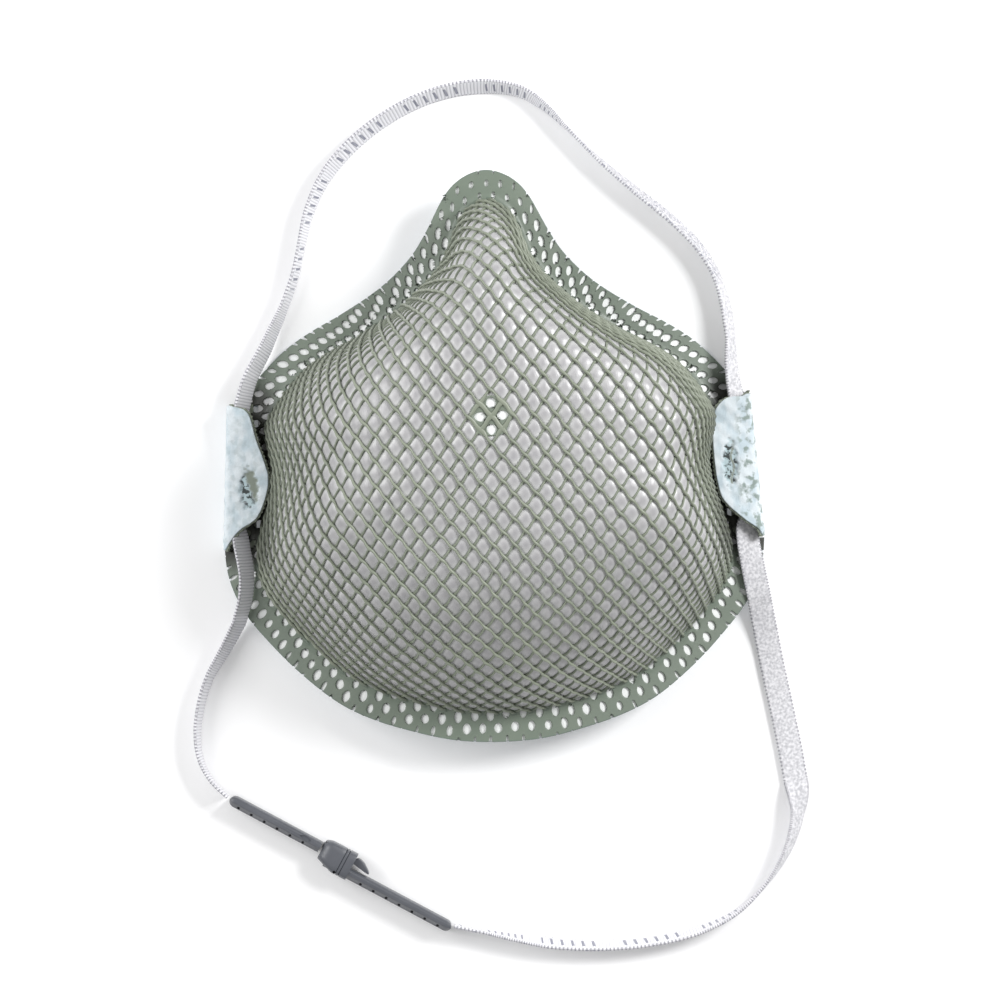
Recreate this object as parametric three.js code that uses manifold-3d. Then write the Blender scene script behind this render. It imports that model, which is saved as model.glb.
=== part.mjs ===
// Disposable cup dust mask with a moulded net shell, folded strap tabs and one elastic strap
// closed by a two-part buckle. Millimetres. +Z up, +Y toward the nose, +X to the wearer's left.
// The mask lies rim down, so the cup is on top. The origin is at the middle of the cup's
// footprint, on the surface that the mask lies on.

import * as THREE from 'three';
import Module from 'manifold-3d';
import { mergeVertices } from 'three/addons/utils/BufferGeometryUtils.js';

// ---- driving dimensions ----

const CUP_HEIGHT = 59;          // top of the crown above the surface
const CROWN_Y = 8.8;            // the crown, from which the outline is measured outwards
const CROWN_RADIUS = 46;        // how far contours near the crown keep to a circle
const DOME = 0.17;              // share of the rise that the top gives up evenly, as a dome
const FLAT_TOP = 6.5;           // a higher number gives a sharper shoulder round the top
const SHOULDER = 11;            // what the fuller right shoulder adds to that
const SHOULDER_TURN = -0.09;    // where that shoulder is about the crown, in radians
const SHOULDER_SPREAD = 0.6;
const WALL_BEND = 0.8;          // a lower number gives a steeper wall at its foot
const CROWDING = 1.5;           // how much closer the rings lie toward the foot

const FLANGE = 6.4;             // width of the flange at nose and chin
const FLANGE_SIDE = 4.6;        // what it gains at the sides, where the tabs are
const FLANGE_RIGHT = 1.5;       // what the right side gains on top of that
const FLANGE_SIDE_Y = -6;
const FLANGE_SIDE_REACH = 17;
const FOOT_SIDE_Z = 3.5;        // height of the wall's foot at the sides
const FOOT_RISE = 11;           // how much higher it is at nose and chin
const FLANGE_DROP = 1.6;        // how far the flange's edge hangs below the foot at the sides

// The right half of the flange's edge, from the nose tip to the chin.
const EDGE_HALF = [
  [0, 69.5], [5.6, 67.8], [9.6, 64.3], [14.2, 56], [17.9, 50], [22, 45.5], [27, 41.3],
  [36.7, 35.3], [43.3, 31.8], [50, 27.4], [56, 21.6], [61, 15.6], [64.6, 10], [66, -4],
  [66.2, -20], [65.4, -28], [61.8, -36.6], [55, -45], [48.3, -51.8], [38.5, -59.6],
  [29.7, -63.8], [21, -66.5], [11, -68.8], [0, -69.5],
];

const ROUND_STEPS = 52;         // steps round the cup
const WALL_STEPS = 8;           // steps from the crown to the foot

const GAP = 0.3;                // left between pieces that touch
const PLY_GAP = 0.5;            // left between the moulded plies of the cup
const NET = 1.4;                // thickness of each ply over the dome
const WEB = 0.5;
const FILTER = 1.8;
const LINER = 0.6;
const FLANGE_NET = 0.9;         // thickness of the two plies that reach the flange
const FLANGE_LINER = 0.5;
const CROWN_WELD_RADIUS = 4.9;
const LINER_FOOT_TOP = 2.6;     // depth of the liner at the wall's foot
const FOAM = 3.5;

const TAB_Y = -3.7;
const TAB_HALF = 17.5;          // half the length of the fold
const TAB_FOLD_X = 66;          // outside of the fold
const TAB_FOLD_RADIUS = 2;
const TAB_FOLD_TOP = 5.4;       // centre of the upper bend
const TAB_LEAF = 8.6;           // length of the upper leaf
const TAB_LEAF_TILT = 0.3;      // radians, rising toward the cup
const TAB_ROOT_X = 60.3;        // where the tab joins the flange
const TAB_LINER = 0.6;
const TAB_NET = 0.8;
const WELD_X = 59.6;
const WELD_HALF_WIDTH = 2;
const WELD_HALF_LENGTH = 5.2;
const WELD_BOTTOM = 4.9;
const WELD_TOP = 6.1;

const NOTCH_TOP = 10;           // above the flange and under the wall's bulge
const CUT_MARGIN = 5;           // how far a cutting solid reaches past what it cuts

const STRAP_WIDTH = 6;
const STRAP_THICK = 1.2;
const STRAP_ROLLED = 2.2;       // diameter where it is bunched up inside a tab

const BUCKLE_ANGLE = -29.5;     // degrees, from +X
const BUCKLE_START = [-66.2, -82.3];
const BAR_HEIGHT = 6.5;
const BAR_THICK = 3;
const MALE_LENGTH = 25;
const HOOD_START = 25.6;
const HOOD_END = 34.1;
const FEMALE_END = 62.5;
const FEMALE_SIDE = -2.4;       // the female bar lies this far beside the male bar
const TONGUE_TIP = 38.6;
const TONGUE_HEIGHT = 3.8;
const TONGUE_THICK = 1.5;
const TONGUE_SIDE = 0.9;
const HOOD_HEIGHT = 7.2;
const HOOD_WALL = 0.8;
const HOOD_CHAMFER = 0.9;
const TONGUE_PLAY = 0.4;        // room round the tongue inside the hood
const TONGUE_NOSE = 1;          // the blunt tip
const TONGUE_TAPER = 2.5;       // the slanted end behind it

const wasm = await Module();
wasm.setup();

// ---- materials ----

const finish = (color, roughness) => new THREE.MeshStandardMaterial({ color, roughness, metalness: 0 });
const netPlastic = () => finish(0x8a9580, 0.45);
const greyWeb = () => finish(0xc9c9cb, 0.9);
const whiteFabric = () => finish(0xdfe8ee, 0.95);
const strapElastic = () => finish(0xe6e3ea, 0.85);
const bucklePlastic = () => finish(0x55585f, 0.4);

const mask = new THREE.Group();

function add(name, geometry, material) {
  const mesh = new THREE.Mesh(geometry, material);
  mesh.name = name;
  mask.add(mesh);
  return mesh;
}

// ---- solids: joining and cutting ----

function merged(geometry) {
  const plain = geometry.clone();
  plain.deleteAttribute('normal');
  plain.deleteAttribute('uv');
  return mergeVertices(plain, 1e-4);
}

function solid(geometry) {
  const plain = merged(geometry);
  return new wasm.Manifold(new wasm.Mesh({
    numProp: 3,
    vertProperties: new Float32Array(plain.attributes.position.array),
    triVerts: new Uint32Array(plain.index.array),
  }));
}

function geometryOf(manifold) {
  const mesh = manifold.getMesh();
  const geometry = new THREE.BufferGeometry();
  geometry.setAttribute('position', new THREE.BufferAttribute(mesh.vertProperties, 3));
  geometry.setIndex(new THREE.BufferAttribute(mesh.triVerts, 1));
  geometry.computeVertexNormals();
  return geometry;
}

function block(x0, x1, y0, y1, z0, z1) {
  const box = new THREE.BoxGeometry(x1 - x0, y1 - y0, z1 - z0);
  box.translate((x0 + x1) / 2, (y0 + y1) / 2, (z0 + z1) / 2);
  return box;
}

const toShape = (points) => new THREE.Shape(points.map(([x, y]) => new THREE.Vector2(x, y)));

// ---- the cup's surface ----

// The flange's edge as a distance from the crown for each angle about it.
const edgePoints = [
  ...EDGE_HALF,
  ...EDGE_HALF.slice(1, -1).reverse().map(([x, y]) => [-x, y]),
].map(([x, y]) => new THREE.Vector3(x, y - CROWN_Y, 0));
const edgeCurve = new THREE.CatmullRomCurve3(edgePoints, true, 'centripetal');
const EDGE_SAMPLES = 720;
const edgeTable = edgeCurve.getPoints(EDGE_SAMPLES)
  .slice(0, EDGE_SAMPLES)
  .map((p) => ({ angle: Math.atan2(p.y, p.x), radius: Math.hypot(p.x, p.y) }))
  .sort((a, b) => a.angle - b.angle);

function edgeRadius(angle) {
  const turn = 2 * Math.PI;
  const wrapped = angle - turn * Math.floor((angle + Math.PI) / turn);
  let next = edgeTable.findIndex((entry) => entry.angle > wrapped);
  if (next < 0) {
    next = 0;
  }
  const b = edgeTable[next];
  const a = edgeTable[(next + EDGE_SAMPLES - 1) % EDGE_SAMPLES];
  const span = (b.angle - a.angle + turn) % turn;
  const along = ((wrapped - a.angle + turn) % turn) / span;
  return a.radius + (b.radius - a.radius) * along;
}

// The flange's width along a ray from the crown: wider where the ray meets the edge at a slant.
function flangeAlong(angle) {
  const step = 0.06;
  const radius = edgeRadius(angle);
  const slope = (edgeRadius(angle + step) - edgeRadius(angle - step)) / (2 * step);
  const y = CROWN_Y + radius * Math.sin(angle);
  const side = Math.exp(-(((y - FLANGE_SIDE_Y) / FLANGE_SIDE_REACH) ** 2));
  const gain = FLANGE_SIDE + (Math.cos(angle) > 0 ? FLANGE_RIGHT : 0);
  return (FLANGE + gain * side) * Math.hypot(1, slope / radius);
}

const turnBetween = (a, b) => Math.atan2(Math.sin(a - b), Math.cos(a - b));

// A point of the outer surface. reach is 0 at the crown, 1 at the wall's foot and 2 at the
// flange's edge.
function cupPoint(angle, reach) {
  const edge = edgeRadius(angle);
  const foot = edge - flangeAlong(angle);
  const lengthwise = Math.sin(angle) ** 2;
  const footZ = FOOT_SIDE_Z + FOOT_RISE * lengthwise ** 2;
  let radius;
  let z;
  if (reach <= 1) {
    const shoulder = Math.exp(-((turnBetween(angle, SHOULDER_TURN) / SHOULDER_SPREAD) ** 2));
    const power = FLAT_TOP + SHOULDER * shoulder;
    const out = 1 - (1 - reach) ** CROWDING;
    const wall = 1 - (1 - out ** power) ** WALL_BEND;
    radius = out * CROWN_RADIUS + out ** 3 * (foot - CROWN_RADIUS);
    z = CUP_HEIGHT - (CUP_HEIGHT - footZ) * (DOME * out ** 2 + (1 - DOME) * wall);
  } else {
    radius = foot + (edge - foot) * (reach - 1);
    z = footZ - FLANGE_DROP * (1 - lengthwise) * (reach - 1);
  }
  return new THREE.Vector3(radius * Math.cos(angle), CROWN_Y + radius * Math.sin(angle), z);
}

function cupNormal(angle, reach) {
  if (reach < 0.02) {
    return new THREE.Vector3(0, 0, 1);
  }
  const turn = 0.02;
  const step = 0.05;
  const outer = Math.min(reach + step, 2);
  const across = cupPoint(angle + turn, reach).sub(cupPoint(angle - turn, reach));
  const down = cupPoint(angle, outer).sub(cupPoint(angle, Math.max(reach - step, 0.01)));
  return down.cross(across).normalize();
}

// A ply of the cup: a ring profile in [reach, depth] is turned round the crown, and each of
// its points is laid at that depth under the outer surface.
function ply(profile, startAngle = 0, sweep = 2 * Math.PI, steps = ROUND_STEPS) {
  const points = profile.map(([reach, depth]) => new THREE.Vector2(reach, -depth));
  const turned = new THREE.LatheGeometry(points, steps, 0, sweep);
  const geometry = merged(turned);
  const position = geometry.attributes.position;
  for (let i = 0; i < position.count; i += 1) {
    const [x, height, z] = [position.getX(i), position.getY(i), position.getZ(i)];
    const reach = Math.hypot(x, z);
    const angle = startAngle + Math.atan2(x, z);
    const laid = cupPoint(angle, reach).addScaledVector(cupNormal(angle, reach), height);
    position.setXYZ(i, laid.x, laid.y, laid.z);
  }
  geometry.computeVertexNormals();
  return geometry;
}

// A piece of a ply between two angles: its profile is extruded and bent round the crown.
function strip(profile, startAngle, sweep, steps) {
  const section = toShape(profile);
  const straight = new THREE.ExtrudeGeometry(section, { depth: sweep, steps, bevelEnabled: false });
  const geometry = merged(straight);
  const position = geometry.attributes.position;
  for (let i = 0; i < position.count; i += 1) {
    const [reach, depth] = [position.getX(i), position.getY(i)];
    const angle = startAngle + position.getZ(i);
    const laid = cupPoint(angle, reach).addScaledVector(cupNormal(angle, reach), -depth);
    position.setXYZ(i, laid.x, laid.y, laid.z);
  }
  geometry.computeVertexNormals();
  return geometry;
}

const wallReaches = (first, last) => {
  const reaches = [];
  for (let i = first; i <= last; i += 1) {
    reaches.push(i / WALL_STEPS);
  }
  return reaches;
};

// The profile of a ply: along its inner face to the end, and back over its outer face.
// faces holds [reach, outer depth, inner depth] from the crown outwards.
function plyProfile(faces) {
  const innerFace = faces.map(([reach, , inner]) => [reach, inner]);
  const outerFace = faces.map(([reach, outer]) => [reach, outer]);
  return [...innerFace, ...outerFace.reverse()];
}

const closed = (profile) => [...profile, profile[0]];

// ---- plies of the cup ----

const FLANGE_REACHES = [1.5, 2];
const THINNING = 6;             // the net's ply thins only close to the foot

function netShell() {
  const faces = wallReaches(0, WALL_STEPS).map((reach) => {
    const thickness = NET - (NET - FLANGE_NET) * reach ** THINNING;
    return [reach, 0, thickness];
  });
  FLANGE_REACHES.forEach((reach) => faces.push([reach, 0, FLANGE_NET]));
  return ply(plyProfile(faces));
}

const CROWN_WELD_SIDES = 24;
const WEB_TOP = NET + PLY_GAP;
const FILTER_TOP = WEB_TOP + WEB + PLY_GAP;
const LINER_TOP = FILTER_TOP + FILTER + PLY_GAP;

// The reach of a contour that lies near the crown.
const reachOf = (radius) => 1 - (1 - radius / CROWN_RADIUS) ** (1 / CROWDING);

function ringPly(top, thickness) {
  const reaches = [reachOf(CROWN_WELD_RADIUS + GAP), ...wallReaches(1, WALL_STEPS - 1)];
  return ply(closed(plyProfile(reaches.map((reach) => [reach, top, top + thickness]))));
}

function crownWeld() {
  const faces = [0, reachOf(CROWN_WELD_RADIUS)].map((reach) => [reach, WEB_TOP, LINER_TOP - PLY_GAP]);
  return ply(plyProfile(faces), 0, 2 * Math.PI, CROWN_WELD_SIDES);
}

function innerLiner() {
  const faces = wallReaches(0, WALL_STEPS - 1).map((reach) => [reach, LINER_TOP, LINER_TOP + LINER]);
  const flangeTop = FLANGE_NET + GAP;
  faces.push([1, LINER_FOOT_TOP, LINER_FOOT_TOP + LINER]);
  FLANGE_REACHES.forEach((reach) => faces.push([reach, flangeTop, flangeTop + FLANGE_LINER]));
  return ply(plyProfile(faces));
}

// The notch that the tab's root fills on each side.
function withNotches(geometry) {
  const low = TAB_Y - TAB_HALF - GAP;
  const high = TAB_Y + TAB_HALF + GAP;
  const inner = TAB_ROOT_X - GAP;
  const outer = TAB_FOLD_X + CUT_MARGIN;
  return geometryOf(solid(geometry)
    .subtract(solid(block(inner, outer, low, high, -CUT_MARGIN, NOTCH_TOP)))
    .subtract(solid(block(-outer, -inner, low, high, -CUT_MARGIN, NOTCH_TOP))));
}

// ---- nose foam: a soft strip inside the nose ----

const FOAM_HALF_TURN = 0.66;    // half of its spread about the crown, in radians
const FOAM_REACHES = [0.62, 0.7, 0.78, 0.86];
const FOAM_TOP = LINER_TOP + LINER + 2 * PLY_GAP;
const FOAM_SIDES = 11;
const FOAM_EDGE = 0.45;         // its thickness along its edges, as a share of the full thickness

function noseFoam() {
  const faces = FOAM_REACHES.map((reach, i) => {
    const atEdge = i === 0 || i === FOAM_REACHES.length - 1;
    const thick = atEdge ? FOAM * FOAM_EDGE : FOAM;
    return [reach, FOAM_TOP, FOAM_TOP + thick];
  });
  return strip(plyProfile(faces), Math.PI / 2 - FOAM_HALF_TURN, 2 * FOAM_HALF_TURN, FOAM_SIDES);
}

// ---- tabs: the flange's two plies, folded over the strap and welded down ----

const BEND_STEPS = 5;            // steps round each bend of the fold

// One side of a folded ply, from its root round the fold to its tip, at a depth under the
// fold's outside. x runs outwards from the mask's middle.
function foldLine(depth) {
  const radius = TAB_FOLD_RADIUS - depth;
  const centreX = TAB_FOLD_X - TAB_FOLD_RADIUS;
  const line = [[TAB_ROOT_X, depth]];
  for (let i = 0; i <= BEND_STEPS; i += 1) {
    const turn = -Math.PI / 2 + (Math.PI / 2) * (i / BEND_STEPS);
    line.push([centreX + radius * Math.cos(turn), TAB_FOLD_RADIUS + radius * Math.sin(turn)]);
  }
  const lastTurn = Math.PI / 2 - TAB_LEAF_TILT;
  for (let i = 0; i <= BEND_STEPS; i += 1) {
    const turn = lastTurn * (i / BEND_STEPS);
    line.push([centreX + radius * Math.cos(turn), TAB_FOLD_TOP + radius * Math.sin(turn)]);
  }
  const [x, z] = line.at(-1);
  line.push([x - TAB_LEAF * Math.cos(TAB_LEAF_TILT), z + TAB_LEAF * Math.sin(TAB_LEAF_TILT)]);
  return line;
}

// The tab's outline seen from above, on the right side, with y from the tab's middle.
const TAB_PLAN = [
  [67, -17.5], [67, 17.5], [60, 16], [57.8, 12], [56.4, 6], [56, -1], [56.8, -8], [58.6, -13.5],
  [61.5, -16.2],
];

function tabPly(depth, thickness) {
  const section = toShape([...foldLine(depth), ...foldLine(depth + thickness).reverse()]);
  const length = 2 * TAB_HALF;
  const folded = new THREE.ExtrudeGeometry(section, { depth: length, bevelEnabled: false });
  folded.rotateX(Math.PI / 2);
  folded.translate(0, length / 2, 0);
  const depthOfPlan = 2 * NOTCH_TOP;
  const plan = new THREE.ExtrudeGeometry(toShape(TAB_PLAN), { depth: depthOfPlan, bevelEnabled: false });
  plan.translate(0, 0, -CUT_MARGIN);
  return geometryOf(solid(folded).intersect(solid(plan)));
}

const WELD_SIDES = 16;

function tabWeld() {
  const plug = new THREE.CylinderGeometry(1, 1, WELD_TOP - WELD_BOTTOM, WELD_SIDES);
  plug.rotateX(Math.PI / 2);
  plug.scale(WELD_HALF_WIDTH, WELD_HALF_LENGTH, 1);
  plug.translate(WELD_X, 0, (WELD_BOTTOM + WELD_TOP) / 2);
  return plug;
}

// A solid made for the right side, at the tab's place on either side.
function atTab(geometry, side) {
  geometry.translate(0, TAB_Y, 0);
  if (side === 'right') {
    return geometry;
  }
  return geometryOf(solid(geometry).mirror([1, 0, 0]));
}

// ---- strap: one elastic, in stretches that meet at the tabs ----

// Up the left side, round the head and down to the right tab.
const STRAP_UPPER = [
  [-54.8, 28.2, 3.8], [-50.9, 36, 3.6], [-47.4, 45, 3.6], [-45.5, 53, 3.6], [-43.6, 60.5, 3.6],
  [-40, 68.2, 3.6], [-35.2, 74.4, 3.6], [-27.5, 81.1, 3.6], [-18, 86.6, 3.6], [-8.7, 89.7, 3.6],
  [0.5, 90.6, 3.6], [8.7, 89.2, 3.6], [14.6, 85.4, 3.6], [20, 80, 3.6], [28, 71.8, 3.6],
  [36.4, 64.4, 3.6], [44.6, 57.5, 3.6], [51, 51, 3.6], [55.4, 44, 3.6], [57.8, 36.3, 3.6],
  [58.9, 28.2, 3.8],
];
const STRAP_IN_LEFT = [
  [-55, 27.4, 4.1], [-58.9, 20, 4.4], [-60.9, 13.4, 4.2], [-62.9, 5, 4], [-62.9, -12, 4],
  [-61.8, -20, 4.5], [-60.7, -28, 5.2], [-61.3, -34, 5.4], [-62.9, -39.2, 4.8],
];
const STRAP_IN_RIGHT = [
  [59, 27.4, 4.1], [59, 20, 4.4], [59.9, 13.4, 4.3], [62.4, 5, 4], [62.9, -12, 4],
  [61.9, -20, 4.5], [62.9, -28, 5.2], [64.2, -35, 5.4], [65, -39.4, 4.8],
];
const STRAP_LOWER_LEFT = [
  [-63.2, -39.8, 4.4], [-66.3, -45.4, 3.8], [-70.8, -53, 3.6], [-73.1, -60.3, 3.6], [-73.9, -67.3, 3.6],
  [-73.1, -73, 3.6], [-70.6, -77.9, 3.6], [-66.7, -82, 3.6],
];
const STRAP_LOWER_RIGHT = [
  [65.2, -40.1, 4.4], [67.2, -52, 3.8], [69.6, -64.6, 3.6], [71.8, -77.1, 3.6], [72.8, -86, 3.6],
  [71.6, -93.6, 3.6], [68.3, -101, 3.6], [63.4, -107.6, 3.6], [56.6, -113.4, 3.6],
  [46.6, -117.6, 3.6], [35.3, -119.8, 3.6], [24.8, -120.4, 3.6], [13.6, -119.8, 3.6],
  [3.8, -118.2, 3.6], [-5.5, -116.2, 3.6], [-12.3, -114.7, 3.6],
];
const STRAP_CORNER = 0.3;
const STRAP_STEP = 12;          // between sections of the solid, along the strap
const ROLLED_SIDES = 8;

// The section of the strap standing on its edge: x of the section is up.
function strapSection() {
  const [x, y] = [STRAP_WIDTH / 2, STRAP_THICK / 2];
  const [a, b] = [x - STRAP_CORNER, y - STRAP_CORNER];
  return toShape([[x, -b], [x, b], [a, y], [-a, y], [-x, b], [-x, -b], [-a, -y], [a, -y]]);
}

function roundSection() {
  const points = [];
  for (let i = 0; i < ROLLED_SIDES; i += 1) {
    const turn = (i / ROLLED_SIDES) * 2 * Math.PI;
    points.push([Math.cos(turn) * STRAP_ROLLED / 2, Math.sin(turn) * STRAP_ROLLED / 2]);
  }
  return toShape(points);
}

function strapAlong(route, section, step) {
  const points = route.map((point) => new THREE.Vector3(...point));
  const curve = new THREE.CatmullRomCurve3(points, false, 'centripetal');
  const steps = Math.round(curve.getLength() / step);
  return new THREE.ExtrudeGeometry(section, { steps, bevelEnabled: false, extrudePath: curve });
}

// ---- buckle: a male bar whose tongue snaps through the female bar's hood ----

// In the buckle's own frame x runs from the male bar's outer end, y beside it and z up.
const buckle = new THREE.Group();
buckle.position.set(...BUCKLE_START, 0.1);
buckle.rotation.z = THREE.MathUtils.degToRad(BUCKLE_ANGLE);
mask.add(buckle);

function addToBuckle(name, geometry) {
  const mesh = add(name, geometry, bucklePlastic());
  buckle.add(mesh);
}

// A bar with one rounded end: plan outline, extruded upwards.
function bar(roundX, squareX, middleY, height, lift) {
  const radius = BAR_THICK / 2;
  const inward = Math.sign(squareX - roundX);
  const outline = new THREE.Shape();
  outline.moveTo(squareX, middleY - inward * radius);
  outline.lineTo(squareX, middleY + inward * radius);
  outline.lineTo(roundX + inward * radius, middleY + inward * radius);
  const first = inward > 0 ? Math.PI / 2 : -Math.PI / 2;
  outline.absarc(roundX + inward * radius, middleY, radius, first, first + Math.PI, false);
  outline.closePath();
  const upwards = { depth: height, bevelEnabled: false, curveSegments: 8 };
  const solidBar = new THREE.ExtrudeGeometry(outline, upwards);
  solidBar.translate(0, 0, lift);
  return solidBar;
}

const BAR_LIFT = (HOOD_HEIGHT - BAR_HEIGHT) / 2;

function tongue() {
  const low = TONGUE_SIDE - TONGUE_THICK / 2;
  const high = TONGUE_SIDE + TONGUE_THICK / 2;
  const root = MALE_LENGTH + GAP;
  const outline = toShape([
    [root, low], [TONGUE_TIP - TONGUE_NOSE, low], [TONGUE_TIP, low + TONGUE_NOSE / 2],
    [TONGUE_TIP - TONGUE_TAPER, high], [root, high],
  ]);
  const blade = new THREE.ExtrudeGeometry(outline, { depth: TONGUE_HEIGHT, bevelEnabled: false });
  blade.translate(0, 0, (HOOD_HEIGHT - TONGUE_HEIGHT) / 2);
  return blade;
}

// The hood: a box section round the tongue, open at both ends, on the side of the female bar.
function hood() {
  const slotLow = FEMALE_SIDE + BAR_THICK / 2;
  const slotHigh = TONGUE_SIDE + TONGUE_THICK / 2 + TONGUE_PLAY;
  const low = FEMALE_SIDE - BAR_THICK / 2 - GAP;
  const high = slotHigh + HOOD_WALL;
  const [inLow, inHigh, inTop] = [low + HOOD_CHAMFER, high - HOOD_CHAMFER, HOOD_HEIGHT - HOOD_CHAMFER];
  const section = toShape([
    [inLow, 0], [inHigh, 0], [high, HOOD_CHAMFER], [high, inTop], [inHigh, HOOD_HEIGHT],
    [inLow, HOOD_HEIGHT], [low, inTop], [low, HOOD_CHAMFER],
  ]);
  const rim = HOOD_WALL + TONGUE_PLAY;
  section.holes.push(new THREE.Path([
    new THREE.Vector2(slotLow, rim),
    new THREE.Vector2(slotLow, HOOD_HEIGHT - rim),
    new THREE.Vector2(slotHigh, HOOD_HEIGHT - rim),
    new THREE.Vector2(slotHigh, rim),
  ]));
  const length = HOOD_END - HOOD_START;
  const box = new THREE.ExtrudeGeometry(section, { depth: length, bevelEnabled: false });
  box.rotateX(Math.PI / 2);
  box.rotateZ(Math.PI / 2);
  box.translate(HOOD_START, 0, 0);
  return box;
}

function femaleHalf() {
  const femaleBar = bar(FEMALE_END, HOOD_START + 1, FEMALE_SIDE, BAR_HEIGHT, BAR_LIFT);
  return geometryOf(solid(femaleBar).add(solid(hood())));
}

// ---- the whole mask ----

add('net_shell', withNotches(netShell()), netPlastic());
add('cover_web', ringPly(WEB_TOP, WEB), greyWeb());
add('filter_media', ringPly(FILTER_TOP, FILTER), greyWeb());
add('inner_liner', withNotches(innerLiner()), whiteFabric());
add('crown_weld', crownWeld(), netPlastic());
add('nose_foam', noseFoam(), finish(0xf2f0ea, 0.9));

['left', 'right'].forEach((side) => {
  add(`tab_liner_${side}`, atTab(tabPly(0, TAB_LINER), side), whiteFabric());
  add(`tab_net_${side}`, atTab(tabPly(TAB_LINER + GAP, TAB_NET), side), netPlastic());
  add(`tab_weld_${side}`, atTab(tabWeld(), side), netPlastic());
});

add('strap_upper', strapAlong(STRAP_UPPER, strapSection(), STRAP_STEP), strapElastic());
add('strap_in_left_tab', strapAlong(STRAP_IN_LEFT, roundSection(), STRAP_STEP / 2), strapElastic());
add('strap_in_right_tab', strapAlong(STRAP_IN_RIGHT, roundSection(), STRAP_STEP / 2), strapElastic());
add('strap_lower_left', strapAlong(STRAP_LOWER_LEFT, strapSection(), STRAP_STEP), strapElastic());
add('strap_lower_right', strapAlong(STRAP_LOWER_RIGHT, strapSection(), STRAP_STEP), strapElastic());

addToBuckle('buckle_male', bar(0, MALE_LENGTH, 0, BAR_HEIGHT, BAR_LIFT));
addToBuckle('buckle_tongue', tongue());
addToBuckle('buckle_female', femaleHalf());

export default mask;
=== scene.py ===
"""A disposable cup dust mask: a moulded net shell over soft plies, folded strap tabs, a knitted elastic strap
and its snap buckle. Lengths are in millimetres until a mesh is made, and MM turns them into metres."""

import math

import bmesh
import bpy
import numpy as np
from mathutils import Matrix, Vector


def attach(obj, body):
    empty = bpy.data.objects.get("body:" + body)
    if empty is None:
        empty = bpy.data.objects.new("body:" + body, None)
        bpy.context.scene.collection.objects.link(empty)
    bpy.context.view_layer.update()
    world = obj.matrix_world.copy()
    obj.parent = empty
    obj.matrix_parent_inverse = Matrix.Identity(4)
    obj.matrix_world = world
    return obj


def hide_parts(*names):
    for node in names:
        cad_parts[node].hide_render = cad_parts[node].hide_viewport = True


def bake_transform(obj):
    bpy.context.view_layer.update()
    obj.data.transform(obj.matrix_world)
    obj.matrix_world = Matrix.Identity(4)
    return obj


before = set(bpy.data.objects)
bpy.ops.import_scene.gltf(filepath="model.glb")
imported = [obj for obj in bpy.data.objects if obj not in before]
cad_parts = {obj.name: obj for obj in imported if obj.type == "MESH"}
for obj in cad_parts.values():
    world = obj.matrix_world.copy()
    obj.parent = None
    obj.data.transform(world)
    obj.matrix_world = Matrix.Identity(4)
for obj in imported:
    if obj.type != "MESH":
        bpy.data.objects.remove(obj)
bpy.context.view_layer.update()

MM = 0.001
random = np.random.default_rng(7)

# ---- driving dimensions, the same as the frame's ----

CUP_HEIGHT = 59.0
CROWN_Y = 8.8
CROWN_RADIUS = 46.0
DOME = 0.17
FLAT_TOP = 6.5
SHOULDER = 11.0
SHOULDER_TURN = -0.09
SHOULDER_SPREAD = 0.6
WALL_BEND = 0.8
CROWDING = 1.5
FLANGE = 6.4
FLANGE_SIDE = 4.6
FLANGE_RIGHT = 1.5
FLANGE_SIDE_Y = -6.0
FLANGE_SIDE_REACH = 17.0
FOOT_SIDE_Z = 3.5
FOOT_RISE = 11.0
FLANGE_DROP = 1.6
EDGE_HALF = [
    (0, 69.5), (5.6, 67.8), (9.6, 64.3), (14.2, 56), (17.9, 50), (22, 45.5), (27, 41.3),
    (36.7, 35.3), (43.3, 31.8), (50, 27.4), (56, 21.6), (61, 15.6), (64.6, 10), (66, -4),
    (66.2, -20), (65.4, -28), (61.8, -36.6), (55, -45), (48.3, -51.8), (38.5, -59.6),
    (29.7, -63.8), (21, -66.5), (11, -68.8), (0, -69.5),
]

# The folded tabs' middle, half their height and where they start.
TAB_Y = -3.7
TAB_HALF = 17.5
TAB_ROOT_X = 58.2

# The strap's route, in stretches, as in the frame.
STRAP_UPPER = [
    (-54.8, 28.2, 3.8), (-50.9, 36, 3.6), (-47.4, 45, 3.6), (-45.5, 53, 3.6), (-43.6, 60.5, 3.6),
    (-40, 68.2, 3.6), (-35.2, 74.4, 3.6), (-27.5, 81.1, 3.6), (-18, 86.6, 3.6), (-8.7, 89.7, 3.6),
    (0.5, 90.6, 3.6), (8.7, 89.2, 3.6), (14.6, 85.4, 3.6), (20, 80, 3.6), (28, 71.8, 3.6),
    (36.4, 64.4, 3.6), (44.6, 57.5, 3.6), (51, 51, 3.6), (55.4, 44, 3.6), (57.8, 36.3, 3.6),
    (58.9, 28.2, 3.8),
]
STRAP_IN_LEFT = [
    (-55, 27.4, 4.1), (-58.9, 20, 4.4), (-60.9, 13.4, 4.2), (-62.9, 5, 4), (-62.9, -12, 4),
    (-61.8, -20, 4.5), (-60.7, -28, 5.2), (-61.3, -34, 5.4), (-62.9, -39.2, 4.8),
]
STRAP_IN_RIGHT = [
    (59, 27.4, 4.1), (59, 20, 4.4), (59.9, 13.4, 4.3), (62.4, 5, 4), (62.9, -12, 4),
    (61.9, -20, 4.5), (62.9, -28, 5.2), (64.2, -35, 5.4), (65, -39.4, 4.8),
]
STRAP_LOWER_LEFT = [
    (-63.2, -39.8, 4.4), (-66.3, -45.4, 3.8), (-70.8, -53, 3.6), (-73.1, -60.3, 3.6), (-73.9, -67.3, 3.6),
    (-73.1, -73, 3.6), (-70.6, -77.9, 3.6), (-66.7, -82, 3.6),
]
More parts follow.
